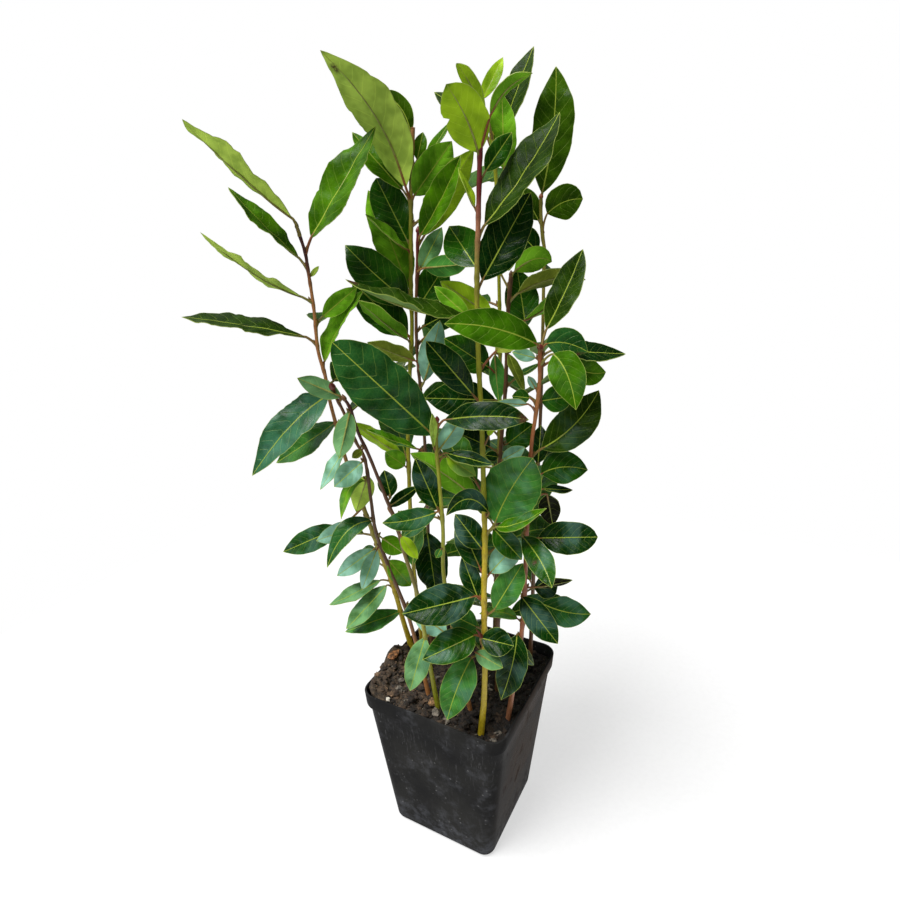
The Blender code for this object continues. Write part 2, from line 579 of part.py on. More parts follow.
class Blade:
    """One leaf in space: its petiole, its midrib and the faces of its blade."""

    def __init__(self, stem, root, base, middle, tip):
        self.stem = stem
        self.root = root
        self.base = base
        self.tip = tip
        self.bend = 2 * middle - (base + tip) / 2
        self.middle = middle
        self.span = (tip - base).length
        self.rows = 4 if self.span > LONG_LEAF else 3 if self.span > MEDIUM_LEAF else 2
        self.outline = POINTED

    def finish(self, width, normal, fold, number):
        """The blade's own form, once it has its place."""
        self.width = width
        self.normal = normal
        self.fold = math.radians(fold)
        self.wave = LEAF_WAVE * width
        self.phase = math.pi * (number % 2)
        return self

    def midrib(self, t):
        """The midrib lies below the line through the picture points by half the fold's height."""
        line = (1 - t) ** 2 * self.base + 2 * t * (1 - t) * self.bend + t * t * self.tip
        rise = 0.25 * self.width * half_width(t, self.outline) * math.sin(self.fold)
        return line - self.normal * rise

    def frame(self, t):
        """The side and up directions of the blade at t along its midrib."""
        along = (2 * (1 - t) * (self.bend - self.base) + 2 * t * (self.tip - self.bend)).normalized()
        up = (self.normal - along * along.dot(self.normal)).normalized()
        return along.cross(up), up

    def margin(self, t, hand, grow=0.0):
        """A point of the margin: hand is -1 or 1."""
        side, up = self.frame(t)
        share = half_width(t, self.outline)
        half = 0.5 * self.width * share + grow
        swell = self.wave * share * math.sin(math.pi * self.rows * t + self.phase * (hand > 0))
        return (self.midrib(t) + side * (hand * half * math.cos(self.fold))
                + up * (half * math.sin(self.fold) + swell))

    def blade_rows(self, grow=0.0):
        """Six points for each row: left, middle and right on the upper, then on the lower face."""
        rows = []
        for i in range(self.rows):
            t = (i + 0.5) / self.rows
            lift = self.frame(t)[1] * (BLADE_THICKNESS / 2 + grow)
            line = [self.margin(t, -1, grow), self.midrib(t), self.margin(t, 1, grow)]
            rows.append([p + lift for p in line] + [p - lift for p in line])
        return rows

    def petiole_ring(self, place, along, radius):
        """Four points round the petiole: up, left, down and right."""
        guide = self.normal
        if abs(guide.dot(along)) > 0.9:
            guide = self.frame(0.0)[0].cross(along)
        up = (guide - along * along.dot(guide)).normalized()
        side = along.cross(up)
        return [place + up * radius, place - side * radius, place - up * radius, place + side * radius]

    def mesh(self, grow=0.0, with_petiole=True):
        """Points and triangles of the leaf, closed and facing out."""
        radius = PETIOLE_RADIUS + grow
        neck = self.petiole_ring(self.base, (self.bend - self.base).normalized(), radius)
        points, faces = neck, [(0, 1, 2), (0, 2, 3)]
        if with_petiole:
            along = (self.base - self.root).normalized()
            points = self.petiole_ring(self.root, along, radius) + neck
            faces += [face for i in range(4)
                      for j in [(i + 1) % 4]
                      for face in ((i, i + 4, j + 4), (i, j + 4, j))]
        first, row = len(points) - 4, len(points)
        up, left, down, right = range(first, first + 4)
        rows = self.blade_rows(grow)
        points = points + [p for line in rows for p in line]
        lt, mt, rt, lb, mb, rb = range(row, row + 6)
        faces += [(up, mt, lt), (up, lt, left), (left, lt, lb), (left, lb, down), (down, lb, mb),
                  (up, right, rt), (up, rt, mt), (right, rb, rt), (right, down, rb), (down, mb, rb)]
        for _ in range(len(rows) - 1):
            nlt, nmt, nrt, nlb, nmb, nrb = (k + 6 for k in (lt, mt, rt, lb, mb, rb))
            faces += [(lt, mt, nmt), (lt, nmt, nlt), (mt, rt, nmt), (rt, nrt, nmt),
                      (lb, nmb, mb), (lb, nlb, nmb), (mb, nmb, rb), (rb, nmb, nrb),
                      (lt, nlt, nlb), (lt, nlb, lb), (rt, nrb, nrt), (rt, rb, nrb)]
            lt, mt, rt, lb, mb, rb = nlt, nmt, nrt, nlb, nmb, nrb
        lift = self.frame(1.0)[1] * (BLADE_THICKNESS / 2 + grow)
        end = self.tip + (self.tip - self.bend).normalized() * grow
        tip_up, tip_down = len(points), len(points) + 1
        points += [end + lift, end - lift]
        faces += [(lt, mt, tip_up), (mt, rt, tip_up), (lb, tip_down, mb), (mb, tip_down, rb),
                  (lt, tip_up, tip_down), (lt, tip_down, lb), (rt, tip_down, tip_up), (rt, rb, tip_down)]
        return points, faces


def blade_in_picture(leaf, number, tip_shift, middle_shift, size):
    """A leaf where the picture shows it, with its tip and middle moved along the line of sight."""
    root = place_on_stem(STEMS[leaf.stem], leaf.at)
    base_point, tip_point = Vector(leaf.base), Vector(leaf.base).lerp(Vector(leaf.tip), size)
    middle_point = (base_point + tip_point) / 2
    if leaf.middle:
        middle_point = base_point.lerp(Vector(leaf.middle), size)
    stalk = (seen(leaf.base, root.dot(AWAY)) - root).length
    blade_length = (seen(leaf.tip, root.dot(AWAY)) - root).length
    depth, reach = root.dot(AWAY), leaf.reach + tip_shift
    base_depth = depth + reach * min(0.35, stalk / blade_length)
    base, tip = seen(leaf.base, base_depth), seen(tip_point, depth + reach)
    arch = middle_shift - leaf.side * LEAF_ARCH * (tip - base).length
    middle = seen(middle_point, (base_depth + depth + reach) / 2 + arch)
    blade = Blade(leaf.stem, root, base, middle, tip)
    blade.outline = leaf.outline
    shown = leaf.wide * pixel_size(middle)
    width = max(shown, LEAF_RATIO * blade.span)
    normal = normal_seen(blade, shown / width, leaf.side)
    return blade.finish(width * (0.55 + 0.45 * size), normal, leaf.fold, number)


def normal_seen(blade, cosine, side):
    """The normal that shows this share of a blade's width, with its upper face as high as can be."""
    axis = (blade.tip - blade.base).normalized()
    toward = EYE - blade.middle
    full = (toward - axis * axis.dot(toward)).normalized()
    edge = axis.cross(full)
    sine = math.sqrt(1 - cosine * cosine)
    return max((full * cosine * side + edge * sine * sign for sign in (1, -1)), key=lambda n: n.z)


class Obstacle:
    """A shape that leaves keep clear of."""

    def __init__(self, owner, points, faces):
        self.owner = owner
        self.tree = BVHTree.FromPolygons(points, faces)
        self.low = Vector(min(p[i] for p in points) for i in range(3))
        self.high = Vector(max(p[i] for p in points) for i in range(3))

    def meets(self, other):
        if any(self.low[i] > other.high[i] or other.low[i] > self.high[i] for i in range(3)):
            return False
        return bool(self.tree.overlap(other.tree))


def tube_mesh(path, sides=6):
    """A plain tube round a path, for keeping clear of a stem."""
    rings = []
    for i, (place, radius) in enumerate(path):
        along = (path[min(i + 1, len(path) - 1)][0] - path[max(i - 1, 0)][0]).normalized()
        side = along.cross(Vector((0, 1, 0))).normalized()
        front = along.cross(side)
        wide = radius / math.cos(math.pi / sides)
        turns = [math.tau * k / sides for k in range(sides)]
        rings.append([place + wide * (side * math.cos(a) + front * math.sin(a)) for a in turns])
    return loft(rings, True, True)


def shifts():
    """Changes of a leaf's tip depth, middle depth and length, from the smallest up."""
    choices = []
    for size in (1.0, 0.85, 0.7, 0.55):
        for tip in range(-64, 65, 4):
            for middle in (0, -5, 5, -10, 10):
                choices.append((abs(tip) + 1.5 * abs(middle) + 220 * (1 - size), tip, middle, size))
    return sorted(choices)


class Placed(Obstacle):
    """A leaf that has its place, with its blade alone for the leaves of the same stem."""

    def __init__(self, blade):
        super().__init__(blade.stem, *blade.mesh())
        self.bare = Obstacle(blade.stem, *blade.mesh(with_petiole=False))


def is_clear(blade, placed):
    """Whether a blade keeps clear of all that isn't its own stem."""
    wide = Obstacle(blade.stem, *blade.mesh(CLEAR_OF_OTHERS))
    bare = Obstacle(blade.stem, *blade.mesh(with_petiole=False))
    for other in placed:
        if other.owner != blade.stem:
            if wide.meets(other):
                return False
        elif isinstance(other, Placed) and bare.meets(other.bare):
            return False
    return True


def place_leaves(obstacles):
    """The leaves that the picture shows.  Where one would cross another stem or leaf, its tip and
    middle move along the line of sight, by the smallest step that clears it."""
    choices = shifts()
    blades, placed = [], list(obstacles)
    for number, leaf in enumerate(LEAVES):
        for _, tip_shift, middle_shift, size in choices:
            blade = blade_in_picture(leaf, number, tip_shift, middle_shift, size)
            if is_clear(blade, placed):
                blades.append(blade)
                placed.append(Placed(blade))
                break
    return blades, placed


def back_leaves(placed, number):
    """Leaves on the far side, which the rest of the plant hides from the camera."""
    front = list(placed)
    blades = []
    for order, (name, stem) in enumerate(STEMS.items()):
        places = stem_places(stem)
        top = places[-1].z - BACK_BELOW_TOP
        height = BACK_LOWEST + 2.7 * order
        turn = 5 * order
        while height < top:
            root = place_at_height(places, height)
            turn += 1
            blade = back_leaf(name, root, turn, number + len(blades), placed, front)
            if blade:
                blades.append(blade)
                placed.append(Placed(blade))
            height += BACK_STEP * (1.0 + 0.3 * math.sin(2.1 * turn))
    return blades


def back_leaf(name, root, turn, number, placed, front):
    """The first of a few leaves at a node that is clear and hidden, or None."""
    away = math.atan2(AWAY.y, AWAY.x)
    for attempt in range(BACK_TRIES):
        spread = math.radians(BACK_SPREAD) * math.sin(turn * GOLDEN_ANGLE + attempt * 1.3)
        length = BACK_LENGTH * (1.0 - 0.16 * (attempt % 3))
        level = Vector((math.cos(away + spread), math.sin(away + spread), 0.0))
        rise = 0.3 + 0.4 * math.sin(turn * 1.7 + attempt)
        heading = (level + Vector((0, 0, rise))).normalized()
        base = root + heading * BACK_STALK
        tip = base + (level + Vector((0, 0, rise - 0.3))).normalized() * length
        middle = (base + tip) / 2 + Vector((0, 0, 0.09 * length))
        blade = Blade(name, root, base, middle, tip)
        axis = (tip - base).normalized()
        upright = Vector((0, 0, 1)) - axis * axis.z
        tilt = axis.cross(upright.normalized()) * 0.6 * math.sin(turn * 2.3)
        blade.finish(0.4 * length, (upright.normalized() + tilt).normalized(), LEAF_FOLD, number)
        if is_hidden(blade, front) and is_clear(blade, placed):
            return blade
    return None


def place_at_height(places, height):
    for low, high in zip(places, places[1:]):
        if low.z <= height <= high.z:
            return low.lerp(high, (height - low.z) / (high.z - low.z))
    return places[-1]


def is_hidden(blade, front):
    """Whether nearly all of a blade lies behind other things, seen from the camera."""
    samples = [blade.midrib(t) for t in (0.2, 0.5, 0.8, 1.0)]
    samples += [blade.margin(t, hand) for t in (0.3, 0.65) for hand in (-1, 1)]
    hidden = 0
    for sample in samples:
        sight = sample - EYE
        hidden += any(thing.tree.ray_cast(EYE, sight.normalized(), sight.length - 1.0)[0]
                      for thing in front)
    return hidden >= len(samples) - BACK_MAY_SHOW


def make_stem_tube(name, path, collection, material):
    """The bare stem, as a closed mesh."""
    curve = bpy.data.curves.new(name, "CURVE")
    curve.dimensions = "3D"
    curve.bevel_depth = MM
    curve.bevel_resolution = 1
    curve.use_fill_caps = True
    spline = curve.splines.new("POLY")
    spline.points.add(len(path) - 1)
    for point, (place, radius) in zip(spline.points, path):
        point.co = (*(place * MM), 1.0)
        point.radius = radius
    wire = bpy.data.objects.new(name, curve)
    collection.objects.link(wire)
    mesh = evaluated_mesh(wire)
    bpy.data.objects.remove(wire, do_unlink=True)
    shape = bmesh.new()
    shape.from_mesh(mesh)
    bmesh.ops.remove_doubles(shape, verts=shape.verts, dist=0.00001)
    bmesh.ops.triangulate(shape, faces=shape.faces)
    shape.to_mesh(mesh)
    shape.free()
    mesh.materials.clear()
    mesh.materials.append(material)
    item = bpy.data.objects.new(name, mesh)
    collection.objects.link(item)
    return item


def make_leafy_stem(name, path, blades, collection, cutters, materials):
    """One stem with its leaves fused to it."""
    stem = make_stem_tube(f"stem_{name}", path, collection, materials["stem"])
    for number, blade in enumerate(blades):
        points, faces = blade.mesh()
        new_object(f"leaf_{name}_{number}", points, faces, cutters, materials["leaf"])
    join = stem.modifiers.new("leaves", "BOOLEAN")
    join.operation = "UNION"
    join.operand_type = "COLLECTION"
    join.collection = cutters
    join.solver = "MANIFOLD"
    apply_modifiers(stem)
    for piece in list(cutters.objects):
        bpy.data.objects.remove(piece, do_unlink=True)
    return stem


def mesh_obstacle(owner, item):
    mesh = item.data
    points = [vertex.co / MM for vertex in mesh.vertices]
    return Obstacle(owner, points, [tuple(face.vertices) for face in mesh.polygons])


def main():
    remove_default_objects()
    parts = new_collection("bay_laurel_in_pot")
    cutters = new_collection("cutters")
    plastic = new_material("pot_plastic", (0.02, 0.02, 0.021), 0.5)
    peat = new_material("soil", (0.03, 0.018, 0.01), 0.95)
    materials = {"stem": new_material("stem", (0.35, 0.32, 0.05), 0.5),
                 "leaf": new_material("leaf", (0.045, 0.15, 0.02), 0.35)}
    paths = {name: stem_path(stem) for name, stem in STEMS.items()}
    pot = make_pot(parts, plastic, cutters)
    soil = make_soil(parts, peat, paths, cutters)
    obstacles = [mesh_obstacle("pot", pot), mesh_obstacle("soil", soil)]
    obstacles += [Obstacle(name, *tube_mesh(path)) for name, path in paths.items()]
    blades, placed = place_leaves(obstacles)
    blades += back_leaves(placed, len(blades))
    for name, path in paths.items():
        own = [blade for blade in blades if blade.stem == name]
        make_leafy_stem(name, path, own, parts, cutters, materials)
    return blades


BLADES = main()
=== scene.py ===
"""The looks of a young bay laurel in a square nursery pot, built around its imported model.

Lengths are millimetres until a mesh is made.  Stems and leaves get their places as in the model: a
point of the reference picture, which is 900 by 900 pixels, and a depth give a place in space.
A depth is measured level, away from the camera, from the pot's axis.
"""

import math
import random
from collections import namedtuple

import bpy
from mathutils import Matrix, Vector, noise


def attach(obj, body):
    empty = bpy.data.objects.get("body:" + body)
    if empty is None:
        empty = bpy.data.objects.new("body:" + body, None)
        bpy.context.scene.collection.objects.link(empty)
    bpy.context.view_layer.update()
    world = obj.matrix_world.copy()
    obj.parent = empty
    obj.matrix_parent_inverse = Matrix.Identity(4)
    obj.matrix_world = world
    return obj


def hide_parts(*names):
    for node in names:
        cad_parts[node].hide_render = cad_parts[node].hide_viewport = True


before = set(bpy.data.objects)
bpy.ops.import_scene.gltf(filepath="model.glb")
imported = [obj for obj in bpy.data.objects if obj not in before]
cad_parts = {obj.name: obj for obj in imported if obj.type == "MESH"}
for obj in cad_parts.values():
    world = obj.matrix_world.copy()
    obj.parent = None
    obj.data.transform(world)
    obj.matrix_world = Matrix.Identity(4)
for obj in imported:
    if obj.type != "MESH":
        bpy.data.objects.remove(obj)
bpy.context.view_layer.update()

MM = 0.001
Z_UP = Vector((0, 0, 1))

# Pot
POT_HEIGHT = 92.4
RIM_HALF = 40.0
BASE_HALF = 29.9
RIM_BAND = 8.9
BAND_FOOT = POT_HEIGHT - RIM_BAND
RIM_STEP = 1.3
RIM_CORNER = 8.0
BASE_CORNER = 6.2
BASE_EDGE = 2.7
WALL = 1.1
RIM_DRAFT = 0.5
LIP = 0.45
CORNER_POINTS = 11
WALL_POINTS = 14
NOTCH_SIZE = (8.0, 3.6, 1.4)

# Soil
SOIL_GAP = 0.35
SOIL_LEVEL = 88.4
SOIL_SLOPE = 0.06
HEAP_PLACE = (-37.3, -11.5)
HEAP_HEIGHT = 8.5
HEAP_RADIUS = 9.0
SOIL_CRUMB = 1.0
BANK_HEIGHT = 3.2
SOIL_POINTS = 26
SOIL_RINGS = 52
GRAINS = 1500
GRAIN_SEED, NOISE_SEED = 11, 5

# Stems
STEM_ROOT = 21.5
STEM_COLLAR = 8.0
STEM_SPACING = 25.0
STEM_SIDES = 12
STEM_STEP = 2.2

# Leaves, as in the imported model
LEAF_RATIO = 0.36
LEAF_ARCH = 0.07
LEAF_FOLD = 13.0
LEAF_WAVE = 0.045
LONG_LEAF, MEDIUM_LEAF = 45.0, 21.0
TOP, UNDER = 1, -1
POINTED, BLUNT = 0.68, 0.48

# Leaves on the far side
FAR_LOWEST = 114.0
FAR_STEP = 27.0
FAR_LENGTH = 52.0
FAR_STALK = 6.2
FAR_SPREAD = math.radians(80.0)
GOLDEN_ANGLE = math.radians(137.5)

# Fine leaves: an upper face whose red is above this share of its green shines less
FINE_STEP = 1.5
FINE_ACROSS, NARROW_ACROSS = 12, 8
FINE_THICKNESS, RIM_THICKNESS = 0.42, 0.26
VEIN_PAIRS = 9
RIPPLE, RIPPLE_UP = 0.065, 0.085
RIB_SIDES = 6
DULL_RED = 0.30
BARK_SLOT, UPPER_SLOT, UNDER_SLOT, STALK_SLOT, DULL_SLOT = range(5)

# Floor, light and background
FLOOR_HALF = 420.0
SUN_WAY = (-0.42, 1.0, 0.3)
SUN_STRENGTH = 3.4
SUN_SPREAD = math.radians(30.0)
WORLD_FILL, WORLD_SHINE, WORLD_DIM = 0.30, 1.2, 0.06

# The camera of the reference picture
VIEW_AZIMUTH, VIEW_ELEVATION, VIEW_ROLL = (math.radians(a) for a in (28.6, 20.5, -1.4))
VIEW_DISTANCE = 291.6
VIEW_TARGET = Vector((-4.7, 0.5, 218.0))
FOCAL_PIXELS = 615.0
PICTURE_SIZE = 900.0
PICTURE_MIDDLE = 450.0
FILM_WIDTH = 36.0

# line: picture points from the top down.  top_depth: the depth of its top
Stem = namedtuple("Stem", "line top_depth foot_radius top_radius")
STEMS = {
    "a": Stem(((297, 228), (305, 252), (308, 270), (314, 310), (318, 350), (325, 375), (329, 397),
               (334, 417), (346, 460), (360, 498), (379, 549), (393, 585), (403, 620), (413, 652)),
              5, 1.7, 0.9),
    "m": Stem(((333, 388), (337, 399), (344, 413), (355, 440), (365, 460), (371, 500), (376, 532),
               (390, 570), (408, 615), (421, 662), (428, 692)), -20, 1.2, 0.9),
    "n": Stem(((345, 400), (350, 408), (358, 432), (370, 458), (386, 498), (396, 523), (404, 552),
               (417, 593), (430, 665), (438, 708)), -32, 1.3, 0.9),
    "b": Stem(((413, 128), (412, 160), (411, 190), (411, 250), (411, 290), (412, 330), (410, 370),
               (408, 430), (409, 475), (413, 560), (423, 648)), 20, 1.4, 1.2),
    "k": Stem(((418, 232), (417, 275), (416, 310), (417, 350), (420, 385), (424, 430), (426, 470),
               (428, 528), (429, 546), (432, 655)), 5, 1.2, 0.9),
    "l": Stem(((437, 421), (436, 440), (437, 455), (440, 490), (443, 530), (444, 577), (455, 640),
               (470, 709)), -33, 1.2, 1.0),
    "c": Stem(((480, 150), (479, 190), (478, 230), (477, 260), (477, 310), (478, 345), (479, 370),
               (482, 430), (484, 505), (485, 545), (484, 600), (485, 660), (484, 700), (481, 733)),
              -26, 1.6, 1.2),
    "j": Stem(((511, 276), (508, 312), (507, 350), (505, 395), (502, 433), (500, 460), (499, 560),
               (497, 690)), -12, 1.3, 1.1),
    "d": Stem(((541, 198), (541, 215), (543, 240), (545, 252), (544, 268), (541, 400), (535, 540),
               (530, 662)), 18, 1.3, 1.0),
    "r": Stem(((540, 348), (540, 365), (539, 390), (535, 420), (531, 450), (527, 520), (523, 620),
               (516, 670), (508, 719)), -34, 1.35, 1.0),
    "t": Stem(((492, 136), (496, 180), (499, 280), (500, 340), (500, 395), (498, 500), (496, 580),
               (494, 660)), 5, 1.3, 1.0),
}

